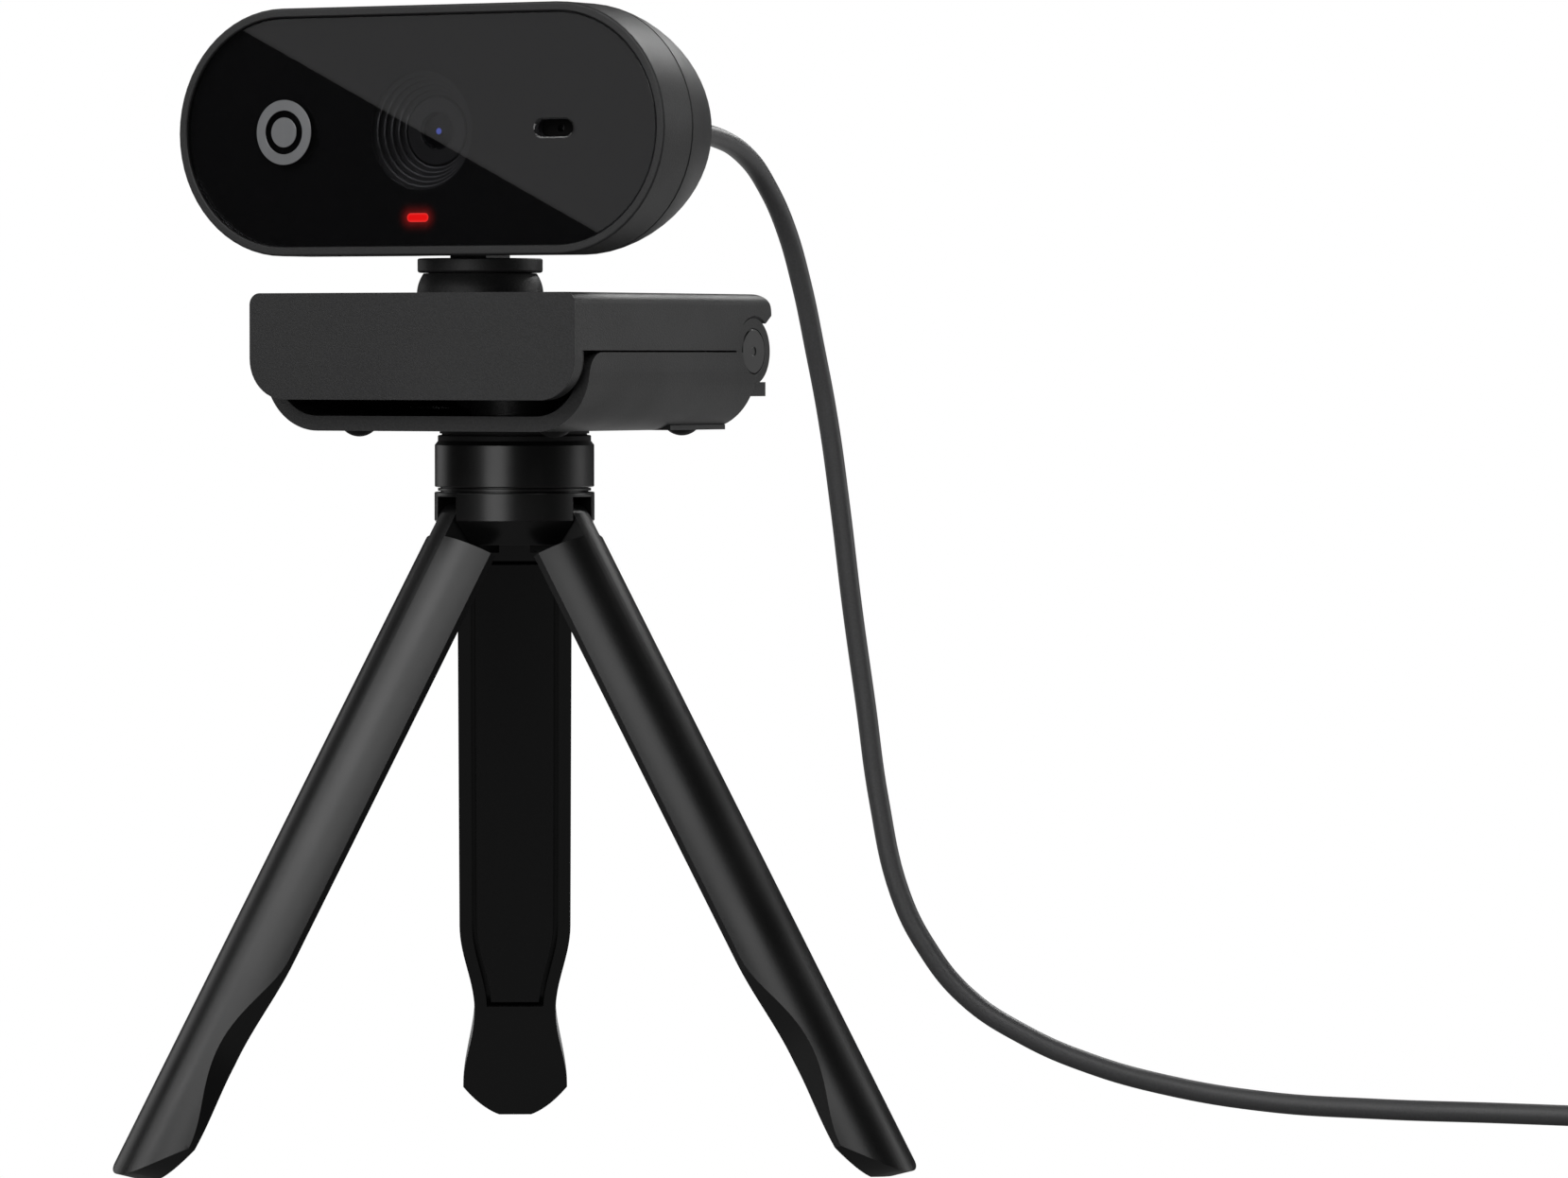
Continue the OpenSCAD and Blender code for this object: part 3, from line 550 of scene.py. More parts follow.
def coil_points():
    """The coil's turns, clockwise from above; each eases to its neighbour in its last sixth."""
    points = []
    first = round(POINTS_A_TURN * COIL_ENTRY / 360)
    for turn, (across, up) in enumerate(COIL_PLACES):
        after = COIL_PLACES[min(turn + 1, len(COIL_PLACES) - 1)]
        for left in range(first if turn == 0 else POINTS_A_TURN, 0, -1):
            ease = max(0.0, 1 - left / (POINTS_A_TURN / 6))
            angle = 2 * math.pi * left / POINTS_A_TURN
            radius = COIL_MID_R + CORD_D * (across + (after[0] - across) * ease)
            height = COIL_CENTRE.z + CORD_D * (up + (after[1] - up) * ease)
            points.append((COIL_CENTRE.x + radius * math.cos(angle),
                           COIL_CENTRE.y + radius * math.sin(angle), height))
    return points


PLUG_X = (tail_low.x + tail_high.x) / 2
PLUG_Z = (plug_low.z + plug_high.z) / 2
cord_end = [
    (PLUG_X - 0.5, COIL_CENTRE.y, COIL_CENTRE.z),
    (PLUG_X, COIL_CENTRE.y - 5, COIL_CENTRE.z - 0.9),
    (PLUG_X, tail_high.y, PLUG_Z),
    (PLUG_X, tail_high.y - 4, PLUG_Z),
]


def make_cord():
    """The whole lead: its run from the head, the coil and the end that enters the plug."""
    curve = bpy.data.curves.new("cord", "CURVE")
    curve.dimensions = "3D"
    curve.bevel_depth = CORD_D / 2 * MM
    curve.bevel_resolution = 5
    curve.resolution_u = 8
    curve.use_fill_caps = True
    points = list(CORD_ROUTE) + coil_points() + cord_end
    spline = curve.splines.new("BEZIER")
    spline.bezier_points.add(len(points) - 1)
    for point, place in zip(spline.bezier_points, points):
        point.co = Vector(place) * MM
        point.handle_left_type = point.handle_right_type = "AUTO"
    piece = bpy.data.objects.new("usb_cord", curve)
    collection.objects.link(piece)
    curve.materials.append(MATERIALS["cord_jacket"])
    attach(piece, BODY_OF["cord"])
    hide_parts("cord", "cord_coil")
    return piece


def make_strain_relief():
    """A tapered sleeve with round ribs, from the shell to the lead."""
    length = relief_high.y - BACK_Y
    thick, thin, ribs = 3.1, 2.2, 5
    profile = [(3.6, -2.6), (3.6, -1.7), (2.35, -1.7), (2.35, 0), (thick + 0.35, 0), (thick + 0.35, 0.9)]
    pitch = (length - 2.2) / ribs
    for i in range(ribs):
        for t, depth in ((0.0, 0.55), (0.22, 0.55), (0.36, 0), (0.86, 0)):
            along = 1.2 + pitch * (i + t)
            radius = thick + (thin - thick) * along / length
            profile.append((radius - depth, along))
    profile += [(thin, length - 0.5), (CORD_D / 2 + 0.05, length)]
    middle = ((relief_low.x + relief_high.x) / 2, BACK_Y, (relief_low.z + relief_high.z) / 2)
    piece = soften(turned(profile, "y", middle, 48), 0.12)
    fit(smooth(piece), "strain_relief_sleeve", "strain_relief")


def soft_ring(half_w, half_h, power, y, steps=48):
    """A ring between an ellipse (power 2) and a rounded box (higher powers), round the plug's axis."""
    ring = []
    for k in range(steps):
        angle = 2 * math.pi * (k + 0.5) / steps
        u = math.copysign(abs(math.cos(angle)) ** (2 / power), math.cos(angle))
        v = math.copysign(abs(math.sin(angle)) ** (2 / power), math.sin(angle))
        ring.append((PLUG_X + half_w * u, y, PLUG_Z + half_h * v))
    return ring


def make_plug():
    """The plug's overmould: a ribbed tail that swells into a rounded grip with three grooves."""
    half_w = (tail_high.x - tail_low.x) / 2
    half_h = (tail_high.z - tail_low.z) / 2
    grip_y = tail_high.y - 14
    front_y = tail_low.y
    rings = [soft_ring(CORD_D / 2 + 0.1, CORD_D / 2 + 0.1, 2, tail_high.y)]
    for i in range(4):
        for t, radius in ((0.15, 2.3), (0.6, 2.5), (0.7, 2.0), (1.0, 2.0)):
            rings.append(soft_ring(radius + i * 0.17, radius + i * 0.17, 2, tail_high.y - 2.4 * (i + t)))
    for t in (0.2, 0.4, 0.6, 0.8, 1.0):
        ease = (1 - math.cos(math.pi * t)) / 2
        rings.append(soft_ring(3 + (half_w - 3) * ease, 3 + (half_h - 3) * ease, 2 + 3 * t,
                               tail_high.y - 9.6 - 4.4 * t))
    for i in range(3):
        for t, depth in ((0.0, 0), (0.15, 0.35), (0.45, 0.35), (0.6, 0)):
            rings.append(soft_ring(half_w - depth, half_h - depth, 5, grip_y - 2.5 - 2.4 * (i + t)))
    rings.append(soft_ring(half_w, half_h, 5, front_y + 0.6))
    rings.append(soft_ring(half_w - 0.2, half_h - 0.2, 5, front_y + 0.15))
    rings.append(soft_ring(half_w - 0.6, half_h - 0.6, 5, front_y))
    return fit(smooth(loft(rings), 50), "usb_overmould", "usb_plug")


def make_plug_shell():
    """The folded steel shell, with its square windows and the contact tongue inside."""
    half_w = (plug_high.x - plug_low.x) / 2
    half_h = (plug_high.z - plug_low.z) / 2
    wall, depth, corner = 0.3, 12.0, 0.5

    def rectangle(w, h, r):
        places = [(-w, -h, r), (w, -h, r), (w, h, r), (-w, h, r)]
        return moved(rounded(places, 4), PLUG_X, PLUG_Z)

    shell = prism(rectangle(half_w, half_h, corner), "y", plug_low.y, plug_high.y)
    windows = []
    for side in (-1, 1):
        x = PLUG_X + side * half_w / 2
        windows.append(box((x - 1.25, plug_low.y + 6, plug_low.z - 1),
                           (x + 1.25, plug_low.y + 8.4, plug_high.z + 1)))
    hollow = prism(rectangle(half_w - wall, half_h - wall, corner - 0.2), "y", plug_low.y - 1,
                   plug_low.y + depth)
    cut(shell, hollow, *windows)
    tongue = box((PLUG_X - half_w + 0.4, plug_low.y + 0.4, PLUG_Z + 0.05),
                 (PLUG_X + half_w - 0.4, plug_low.y + depth + 0.2, PLUG_Z + half_h - 0.35))
    fit(smooth(soften(tongue, 0.15)), "usb_tongue", "usb_plug", MATERIALS["panel_plastic"], False)
    return fit(smooth(soften(shell, 0.06, segments=2)), "usb_plug_shell", "usb_shell"), tongue


def make_tie():
    """A soft strap round the bundle, its end lying over itself."""
    low, high = corners("cord_tie")
    thick = 0.7

    def loop(grow):
        reach = (low.y - grow, high.y + grow, low.z - grow, high.z + grow)
        places = [(reach[0], reach[2], 2.4), (reach[1], reach[2], 2.4),
                  (reach[1], reach[3], 2.4), (reach[0], reach[3], 2.4)]
        return rounded(places)

    band = cut(prism(loop(0), "x", low.x, high.x), prism(loop(-thick), "x", low.x - 1, high.x + 1))
    end = box((low.x + 0.4, low.y + 3, high.z - 0.1), (high.x - 0.4, low.y + 9.5, high.z + thick))
    add(band, end)
    return fit(smooth(soften(band, 0.18)), "cord_strap", "cord_tie", strap)


cord = make_cord()
make_strain_relief()
plug = make_plug()
plug_shell, plug_tongue = make_plug_shell()
tie = make_tie()


# ---------- head ----------

RIM_W = 1.4
EDGE = 0.38
SEAM = 0.22
WALL = 1.6
DOME_INSET = 10.7
DOME_POWER = 1.33
MASK_BACK = mask_high.y
SHELF_BACK = MASK_BACK + 1.2
GLASS_INSET = glass_low.x - bezel_low.x
LENS_WINDOW_R = 9.5
LENS_WELL_R = 10.1
LENS_STEPS = 6
LENS_STEP_R = 0.76
LENS_STEP_Y = 0.9
BARREL_Y = corners("lens_barrel")[0].y
MIC_X = 25.2
MIC_SLOT = (6.9, 2.75)
POCKET_R = disc_high.x + 1.7
POCKET_TOP = TILT_Z - 1.6
POCKET_WALL = 1.2


def head_ring(inset, y):
    """The head's stadium outline, drawn in by an inset, at one depth."""
    outline = pill(HEAD_W - 2 * inset, HEAD_H - 2 * inset)
    return [(u, y, HEAD_Z + v) for u, v in outline]


def pocket(wall=0.0):
    """The round pocket under the head that the neck stands in, or with a wall round it."""
    start = bezel_low.z - (1 if wall else 2)
    return rod("z", (0, NECK_Y, 0), POCKET_R + wall, start, POCKET_TOP + wall, 96)


def through_front(outline):
    """A cutter that goes through everything at the front of the head."""
    return prism(outline, "y", FACE_Y - 1, SHELF_BACK + 1)


def mic_outline(grow=0.0):
    return moved(pill(MIC_SLOT[0] + grow, MIC_SLOT[1] + grow, 12), MIC_X, HEAD_Z)


def led_outline(grow=0.0):
    outline = pill(led_high.x - led_low.x + grow, led_high.z - led_low.z + grow, 12)
    return moved(outline, LED_MIDDLE.x, LED_MIDDLE.z)


def make_bezel():
    """The front half of the head's case: a straight band, a round edge and the rim round the plate."""
    rings = [head_ring(WALL, SHELF_BACK), head_ring(WALL, BAND_Y), head_ring(SEAM, BAND_Y)]
    rings.append(head_ring(0, BAND_Y - SEAM))
    steps = 5
    for i in range(steps + 1):
        angle = math.radians(90 * i / steps)
        rings.append(head_ring(EDGE * (1 - math.cos(angle)), FACE_Y + EDGE * (1 - math.sin(angle))))
    rings += [head_ring(RIM_W - 0.15, FACE_Y), head_ring(RIM_W, FACE_Y + 0.15), head_ring(RIM_W, MASK_BACK)]
    bezel = loft(rings)
    liner = common(pocket(POCKET_WALL), loft([head_ring(0.2, SHELF_BACK), head_ring(0.2, BAND_Y)]))
    add(bezel, liner)
    lens_hole = rod("y", (0, 0, HEAD_Z), LENS_WELL_R + 0.1, MASK_BACK - 1, SHELF_BACK + 1)
    cut(bezel, pocket(), lens_hole, through_front(mic_outline(0.3)), through_front(led_outline(0.2)))
    fit(smooth(bezel), "bezel", "front_bezel")


def dome_rings(wall, steps=27):
    """The back of the head, from the band to its flat end."""
    rings = []
    depth = BACK_Y - BAND_Y - wall
    for i in range(steps + 1):
        angle = math.radians(90 * i / steps)
        out = max(0.0, math.cos(angle)) ** DOME_POWER
        back = math.sin(angle) ** DOME_POWER
        rings.append(head_ring(wall + DOME_INSET * (1 - out), BAND_Y + depth * back))
    return rings


def make_rear_shell():
    """The domed back, with its pocket for the neck and holes for the tongue and the lead."""
    outer = dome_rings(0)
    outer[0] = head_ring(SEAM, BAND_Y)
    outer.insert(1, head_ring(0.01, BAND_Y + SEAM))
    shell = loft(dome_rings(WALL)[::-1] + outer)
    liner = common(pocket(POCKET_WALL), loft(dome_rings(0.2)))
    add(shell, liner)
    tongue_slot = box((-3.8, NECK_Y - 4.5, POCKET_TOP - 1), (3.8, NECK_Y + 4.5, TILT_Z + 4.3))
    relief_z = (relief_low.z + relief_high.z) / 2
    relief_hole = rod("y", (0, 0, relief_z), 2.4, BACK_Y - 4, BACK_Y + 1)
    cut(shell, pocket(), tongue_slot, relief_hole)
    fit(smooth(shell), "rear_housing", "rear_shell")


def make_glass():
    """The front plate, with the microphone's slot flared at its mouth."""
    bevel = 0.16
    rings = [head_ring(GLASS_INSET + bevel, glass_low.y), head_ring(GLASS_INSET, glass_low.y + bevel),
             head_ring(GLASS_INSET, glass_high.y)]
    plate = loft(rings)
    flare = [(0.6, -0.02), (0.0, 0.08)]
    mic_edge = loft([[(u, glass_low.y + depth, v) for u, v in mic_outline(grow)] for grow, depth in flare])
    cut(plate, through_front(mic_outline()), mic_edge)
    fit(smooth(plate, 10), "front_plate", "front_glass")


def make_mask():
    """The print behind the plate, open at the lens and the light, and a dark sleeve in the slot."""
    rings = [head_ring(GLASS_INSET, mask_low.y + 0.03), head_ring(GLASS_INSET, MASK_BACK)]
    mask = loft(rings)
    window = rod("y", (0, 0, HEAD_Z), LENS_WINDOW_R, FACE_Y, SHELF_BACK, 96)
    cut(mask, window, through_front(mic_outline()), through_front(led_outline()))
    sleeve = prism(mic_outline(0.24), "y", MASK_BACK - 0.02, SHELF_BACK - 0.02)
    cut(sleeve, through_front(mic_outline()))
    mask = gather([mask, sleeve])
    fit(smooth(mask, 20), "black_mask", "glass_mask")


def make_badge():
    """A plain ring and dot in bright print."""
    front = badge_low.y
    ring = badge_high.z - HEAD_Z
    middle = ((badge_low.x + badge_high.x) / 2, front, HEAD_Z)
    thick = badge_high.y - front
    loop = [(3.5, thick), (3.5, 0.03), (3.53, 0), (ring - 0.03, 0), (ring, 0.03), (ring, thick)]
    dot = [(0.01, 0), (2.37, 0), (2.4, 0.03), (2.4, thick), (0.01, thick)]
    piece = gather([turned(loop, "y", middle, 72, True), turned(dot, "y", middle, 48)])
    fit(smooth(piece), "ring_badge", "badge")


def make_lens_well():
    """A funnel of six fine steps, each with a shallow chamfer that catches the light."""
    chamfer_w, chamfer_y = 0.24, 0.08
    profile = [(LENS_WELL_R, LENS_STEPS * LENS_STEP_Y), (LENS_WELL_R, 0.02)]
    for i in range(LENS_STEPS):
        radius = LENS_WINDOW_R - i * LENS_STEP_R
        start = i * LENS_STEP_Y + 0.02
        profile += [(radius + chamfer_w, start), (radius, start + chamfer_y), (radius, start + LENS_STEP_Y)]
    well = turned(profile, "y", (0, MASK_BACK, HEAD_Z), 128, True)
    fit(smooth(well, 10), "lens_funnel", "lens_well", lens_black)


def make_lens():
    """The barrel's face, the front element set into it and a small core that glows blue as a painted glint
    of the lens coating.
    """
    centre = (0, BARREL_Y, HEAD_Z)
    outer, inner, sink = 5.5, 2.98, 0.9
    face = [(inner, sink + 0.4), (inner, 0.1), (inner + 0.1, 0), (outer - 0.18, 0), (outer, 0.18),
            (outer, 1.6), (inner, 1.6)]
    fit(smooth(turned(face, "y", centre, 96, True), 25), "barrel_face", "lens_barrel", lens_black)
    sag, reach = 0.22, inner - 0.03
    profile = [(0.01, sink - sag)]
    for i in range(1, 13):
        radius = reach * i / 12
        profile.append((radius, sink - sag * (1 - (radius / reach) ** 2)))
    profile += [(reach, sink + 1.0), (0.01, sink + 1.0)]
    fit(smooth(turned(profile, "y", centre, 72), 40), "front_element", "lens_glass")
    core = [(0.01, sink - sag - 0.05), (0.35, sink - sag - 0.035), (0.55, sink - sag + 0.02), (0.55, sink)]
    # The small core glows blue: a painted glint of the coating
    fit(smooth(turned(core, "y", centre, 32), 60), "painted_glint_core", "lens_glass", painted_glint_core, False)


def make_led():
    window = prism(led_outline(), "y", led_low.y, led_high.y)
    fit(smooth(soften(window, 0.1)), "status_window", "status_led")


make_bezel()
make_rear_shell()
make_glass()
make_mask()
make_badge()
make_lens_well()
make_lens()
make_led()


# ---------- neck ----------

def make_neck():
    """The swivelling disc and the tongue that stands on it and takes the tilt pin."""
    disc_r, disc_z, top_z = disc_high.x, flare_high.z + 0.1, flare_high.z + 2.4
    bottom_edge, top_edge = 0.4, 0.3
    profile = [(3.0, disc_low.z), (3.0, disc_z)]
    profile += arc((disc_r - bottom_edge, disc_z + bottom_edge), bottom_edge, -90, 0, 4)
    profile += arc((disc_r - top_edge, top_z - top_edge), top_edge, 0, 90, 4)
    disc = turned(profile, "z", (0, NECK_Y, 0), 96)
    outline = [(NECK_Y - 3.6, top_z - 0.5), (NECK_Y + 3.6, top_z - 0.5)]
    outline += arc((NECK_Y, TILT_Z), 4, -26, 206, 24)
    tongue = prism(outline, "x", -3.4, 3.4)
    bore = rod("x", (0, NECK_Y, TILT_Z), 1.05, -4, 4, 24)
    cut(add(disc, tongue), bore)
    fit(smooth(disc), "swivel_disc", "neck_disc")


def make_flare():
    """The bell-shaped foot that the disc turns on."""
    inner, height = 3.05, flare_high.z - CLIP_TOP
    wide, drawn_in = flare_high.x, 1.05
    profile = [(inner, -2.2), (4.2, -2.2), (4.2, 0.0), (wide, 0.0)]
    for i in range(1, 13):
        angle = math.radians(7.5 * i)
        profile.append((wide - drawn_in * math.sin(angle) ** 2, height * math.sin(angle)))
    profile.append((inner, height))
    flare = turned(profile, "z", (0, NECK_Y, CLIP_TOP), 96, True)
    fit(smooth(flare, 25), "swivel_foot", "swivel_base")


make_neck()
make_flare()


# ---------- screen clip ----------

CLIP_WALL = 2.2
LIP_T = 2.4
JAW_GAP = 0.15
KNUCKLE_R = 5.4
KNUCKLE_CLEAR = 0.35
MIDDLE_KNUCKLE_X = 24.2
END_KNUCKLE_X = CLIP_HALF_W - 0.3
HINGE_BORE_R = 1.55
NECK_BORE_R = 4.25
TRAY_FRONT_Y, TRAY_BACK_Y, TRAY_DEEP = -26.5, 19.5, 1.2
JAW_CORNER_R = 10
JAW_BACK_Y = 25.5
JAW_FLOOR = 2.4
BOSS_R, THREAD_R = 7, 5
STOP_HALF_W = 29.2
HEEL_HALF_W, HEEL_FRONT_Y = 24.6, 8


def hinge_rod(radius, start, end, steps=64):
    """A rod on the hinge's axis."""
    return rod("x", (0, HINGE_Y, HINGE_Z), radius, start, end, steps)


def hinge_pair(radius, start, end, steps=64):
    """The same rod at both ends of the hinge."""
    return [hinge_rod(radius, start, end, steps), hinge_rod(radius, -end, -start, steps)]


def make_upper_jaw():
    """The plate with its round side edges and tail, and the lip that hangs in front."""
    split = HINGE_Z + JAW_GAP
    side = rounded([
        (LIP_Y, LIP_BOTTOM, 0), (LIP_Y, CLIP_TOP, 0), (TAIL_Y, CLIP_TOP, 3.2),
        (TAIL_Y, CLIP_TOP - 3.5, 0), (TAIL_Y - 2.2, CLIP_TOP - 5, 0), (TAIL_Y - 2.2, split, 0),
        (LIP_Y + LIP_T, split, 0), (LIP_Y + LIP_T, LIP_BOTTOM, 0)])
    front = rounded([
        (-CLIP_HALF_W, LIP_BOTTOM, 6.5), (CLIP_HALF_W, LIP_BOTTOM, 6.5),
        (CLIP_HALF_W, CLIP_TOP, 1.9), (-CLIP_HALF_W, CLIP_TOP, 1.9)], 12)
    jaw = common(prism(side, "x", -CLIP_HALF_W - 1, CLIP_HALF_W + 1),
                 prism(front, "y", LIP_Y - 1, TAIL_Y + 1))
    inner = CLIP_HALF_W - CLIP_WALL
    tray = box((-inner, TRAY_FRONT_Y, split - 1), (inner, TRAY_BACK_Y, split + TRAY_DEEP))
    clearances = hinge_pair(KNUCKLE_R + KNUCKLE_CLEAR, MIDDLE_KNUCKLE_X, CLIP_HALF_W + 2, 96)
    cut(jaw, tray, *clearances)
    add(jaw, hinge_rod(KNUCKLE_R, -MIDDLE_KNUCKLE_X, MIDDLE_KNUCKLE_X, 96))
    cut(jaw, hinge_rod(HINGE_BORE_R, -CLIP_HALF_W, CLIP_HALF_W, 32),
        rod("z", (0, NECK_Y, 0), NECK_BORE_R, CLIP_TOP - 3, CLIP_TOP + 1, 48))
    fit(smooth(soften(jaw, 0.28)), "clip_upper_jaw", "upper_jaw")


def make_lip_pad():
    """The soft pad on the inside of the lip."""
    low, high = corners("lip_pad")
    corner_r = 6.2
    outline = rounded([(-high.x, low.z, corner_r), (high.x, low.z, corner_r),
                       (high.x, high.z, 0), (-high.x, high.z, 0)], 12)
    pad = prism(outline, "y", low.y + 0.02, high.y)
    fit(smooth(soften(pad, 0.2)), "lip_cushion", "lip_pad")


def make_lower_jaw():
    """The tray-shaped lower jaw, with its round corners, hinge knuckles, stop and heel."""
    top = HINGE_Z - JAW_GAP
    half, inner, inner_r = CLIP_HALF_W, CLIP_HALF_W - CLIP_WALL, JAW_CORNER_R - CLIP_WALL
    floor_z = CLIP_BOTTOM + JAW_FLOOR
    outer = rounded([(-half, CLIP_BOTTOM, JAW_CORNER_R), (half, CLIP_BOTTOM, JAW_CORNER_R),
                     (half, top, 0), (-half, top, 0)], 24)
    hollow = rounded([(-inner, floor_z, inner_r), (inner, floor_z, inner_r),
                      (inner, top + 5, 0), (-inner, top + 5, 0)], 24)
    jaw = prism(outer, "y", JAW_FRONT_Y, JAW_BACK_Y)
    nose_r = 3.8
    nose = [(JAW_FRONT_Y - 2, top - nose_r), (JAW_FRONT_Y, top - nose_r)]
    nose += arc((JAW_FRONT_Y + nose_r, top - nose_r), nose_r, 180, 90, 12)
    nose += [(JAW_FRONT_Y + nose_r, top + 2), (JAW_FRONT_Y - 2, top + 2)]
    cut(jaw, prism(hollow, "y", JAW_FRONT_Y - 1, JAW_BACK_Y - CLIP_WALL),
        prism(nose, "x", -half - 2, half + 2))
    # Faces that would lie in one plane are set this far apart, which keeps the booleans sound
    apart = 0.001
    boss = rod("z", (0, 0, 0), BOSS_R, CLIP_BOTTOM + 1, CLIP_BOTTOM + 6.4)
    stop = box((-STOP_HALF_W, JAW_BACK_Y - 1.5, CLIP_BOTTOM + 5.4),
               (STOP_HALF_W, lower_high.y, CLIP_BOTTOM + 7.7))
    heel = box((-HEEL_HALF_W, HEEL_FRONT_Y, CLIP_BOTTOM + apart),
               (HEEL_HALF_W, JAW_BACK_Y + apart, CLIP_BOTTOM + 0.8))
    gap_x = MIDDLE_KNUCKLE_X + 0.3
    add(jaw, boss, stop, heel, *hinge_pair(KNUCKLE_R, gap_x, END_KNUCKLE_X, 96))
    gap = hinge_rod(KNUCKLE_R + KNUCKLE_CLEAR, -gap_x, gap_x, 96)
    cap_seats = hinge_pair(3.75, END_KNUCKLE_X - 2, END_KNUCKLE_X + 1)
    thread = rod("z", (0, 0, 0), THREAD_R, CLIP_BOTTOM - 1, CLIP_BOTTOM + 8)
    cut(jaw, gap, thread, *cap_seats)
    fit(smooth(soften(jaw, 0.24)), "clip_lower_jaw", "lower_jaw")


def make_hinge_caps():
    """A round cap at each end of the hinge, with a small dimple."""
    caps = []
    for side in (-1, 1):
        end = side * (END_KNUCKLE_X + 0.1)
        profile = [(3.65, -2.0 * side), (3.65, -0.18 * side), (3.47, 0), (0.8, 0), (0.6, -0.15 * side)]
        caps.append(turned(profile, "x", (end, HINGE_Y, HINGE_Z), 64))
    fit(smooth(gather(caps)), "hinge_end_caps", "hinge_caps")


def make_bumps():
    """Four small rubber domes under the lower jaw."""
    low, high = corners("jaw_bumps")
    ball_r, rise, steps = 3.5, 2.5, 10
    dome_r = math.sqrt(ball_r ** 2 - rise ** 2)
    profile = [(1.2, 1.5), (1.2, 0.0)]
    for i in range(steps + 1):
        angle = math.acos(rise / ball_r) * (1 - i / steps)
        profile.append((max(0.01, ball_r * math.sin(angle)), rise - ball_r * math.cos(angle)))
    domes = []
    for x in (dome_r - high.x, high.x - dome_r):
        for y in (low.y + dome_r, high.y - dome_r):
            domes.append(turned(profile, "z", (x, y, CLIP_BOTTOM), 40))
    fit(smooth(gather(domes)), "rubber_domes", "jaw_bumps")


make_upper_jaw()
make_lip_pad()
make_lower_jaw()
make_hinge_caps()
make_bumps()


# ---------- tripod head ----------

def make_top_pad():
    """The pad under the clip, with a groove round its side."""
    low, high = corners("top_pad")
    radius = high.x
    profile = [(3.5, low.z), (radius, low.z), (radius, low.z + 0.75), (radius - 0.12, low.z + 0.87),
               (radius - 0.65, low.z + 0.95), (radius - 0.65, low.z + 1.1), (radius - 0.3, low.z + 1.15),
               (radius - 0.3, high.z - 0.05), (radius - 0.4, high.z), (3.5, high.z)]
    fit(smooth(turned(profile, "z", (0, 0, 0), 96, True)), "collar_pad", "top_pad")


def make_collar():
    """The knob that turns the clip: a plain drum with a chamfered top and a fine edge below."""
    radius = collar_high.x
    edge, chamfer = 0.22, 0.55
    shoulder = collar_high.z - 0.6
    profile = [(5.05, collar_low.z)]
    profile += arc((radius - edge, collar_low.z + edge), edge, -90, 0, 4)
    profile += arc((radius - 0.15, shoulder - 0.15), 0.15, 0, 45, 3)
    profile += [(radius - chamfer, collar_high.z), (6.05, collar_high.z), (6.05, collar_high.z - 2.7),
                (5.05, collar_high.z - 2.7)]
    fit(smooth(turned(profile, "z", (0, 0, 0), 128, True), 25), "pan_knob", "pan_collar")


def make_friction_ring():
    """The thin ring in the gap under the knob, with a groove above and below it."""
    radius, depth = ring_high.x, 0.45
    profile = [(5.3, ring_low.z), (radius - depth, ring_low.z), (radius - depth, ring_low.z + 0.16),
               (radius - 0.05, ring_low.z + 0.2), (radius, ring_low.z + 0.26), (radius, ring_high.z - 0.22),
               (radius - 0.05, ring_high.z - 0.16), (radius - depth, ring_high.z - 0.12),
               (radius - depth, ring_high.z), (5.3, ring_high.z)]
    fit(smooth(turned(profile, "z", (0, 0, 0), 96, True), 25), "pan_ring", "friction_ring",
        MATERIALS["tripod_plastic"])


LEG_TURN = 1.8
LEG_TURNS = {"right": LEG_TURN, "rear": LEG_TURN + 120, "left": LEG_TURN + 240}
PIN_R = 9.4
PIN_Z = 102.5
SLOT_W = 6
HUB_SPLIT_Z = base_high.z
HUB_TOP_Z = ring_low.z


def leg_slots():
    """The three slots that the legs' knuckles turn in."""
    slots = []
    for turn in LEG_TURNS.values():
        slot = box((5.6, -SLOT_W / 2, base_low.z - 1), (16, SLOT_W / 2, HUB_TOP_Z - 0.7))
        slot.data.transform(Matrix.Rotation(math.radians(turn), 4, "Z"))
        slots.append(slot)
    return slots


def make_hub():
    """The upper part of the hub, slotted for the three legs."""
    edge = 0.2
    profile = [(2.1, HUB_SPLIT_Z), (HUB_R, HUB_SPLIT_Z)]
    profile += arc((HUB_R - edge, HUB_TOP_Z - edge), edge, 0, 90, 4)
    profile += [(5.0, HUB_TOP_Z), (5.0, hub_high.z), (2.1, hub_high.z)]
    hub = cut(turned(profile, "z", (0, 0, 0), 128, True), *leg_slots())
    fit(smooth(soften(hub, 0.2, 35)), "leg_hub", "hub")


def make_hub_base():
    """The lower part of the hub, drawn in towards the floor."""
    low_r = base_high.x - 2.3
    profile = [(3.9, base_low.z), (low_r - 0.2, base_low.z), (low_r, base_low.z + 0.2),
               (HUB_R, HUB_SPLIT_Z - 0.02), (3.9, HUB_SPLIT_Z - 0.02)]
    base = cut(turned(profile, "z", (0, 0, 0), 128, True), *leg_slots())
    fit(smooth(soften(base, 0.15, 35)), "leg_hub_base", "hub_base")


make_top_pad()
make_collar()
make_friction_ring()
make_hub()
make_hub_base()


# ---------- legs ----------

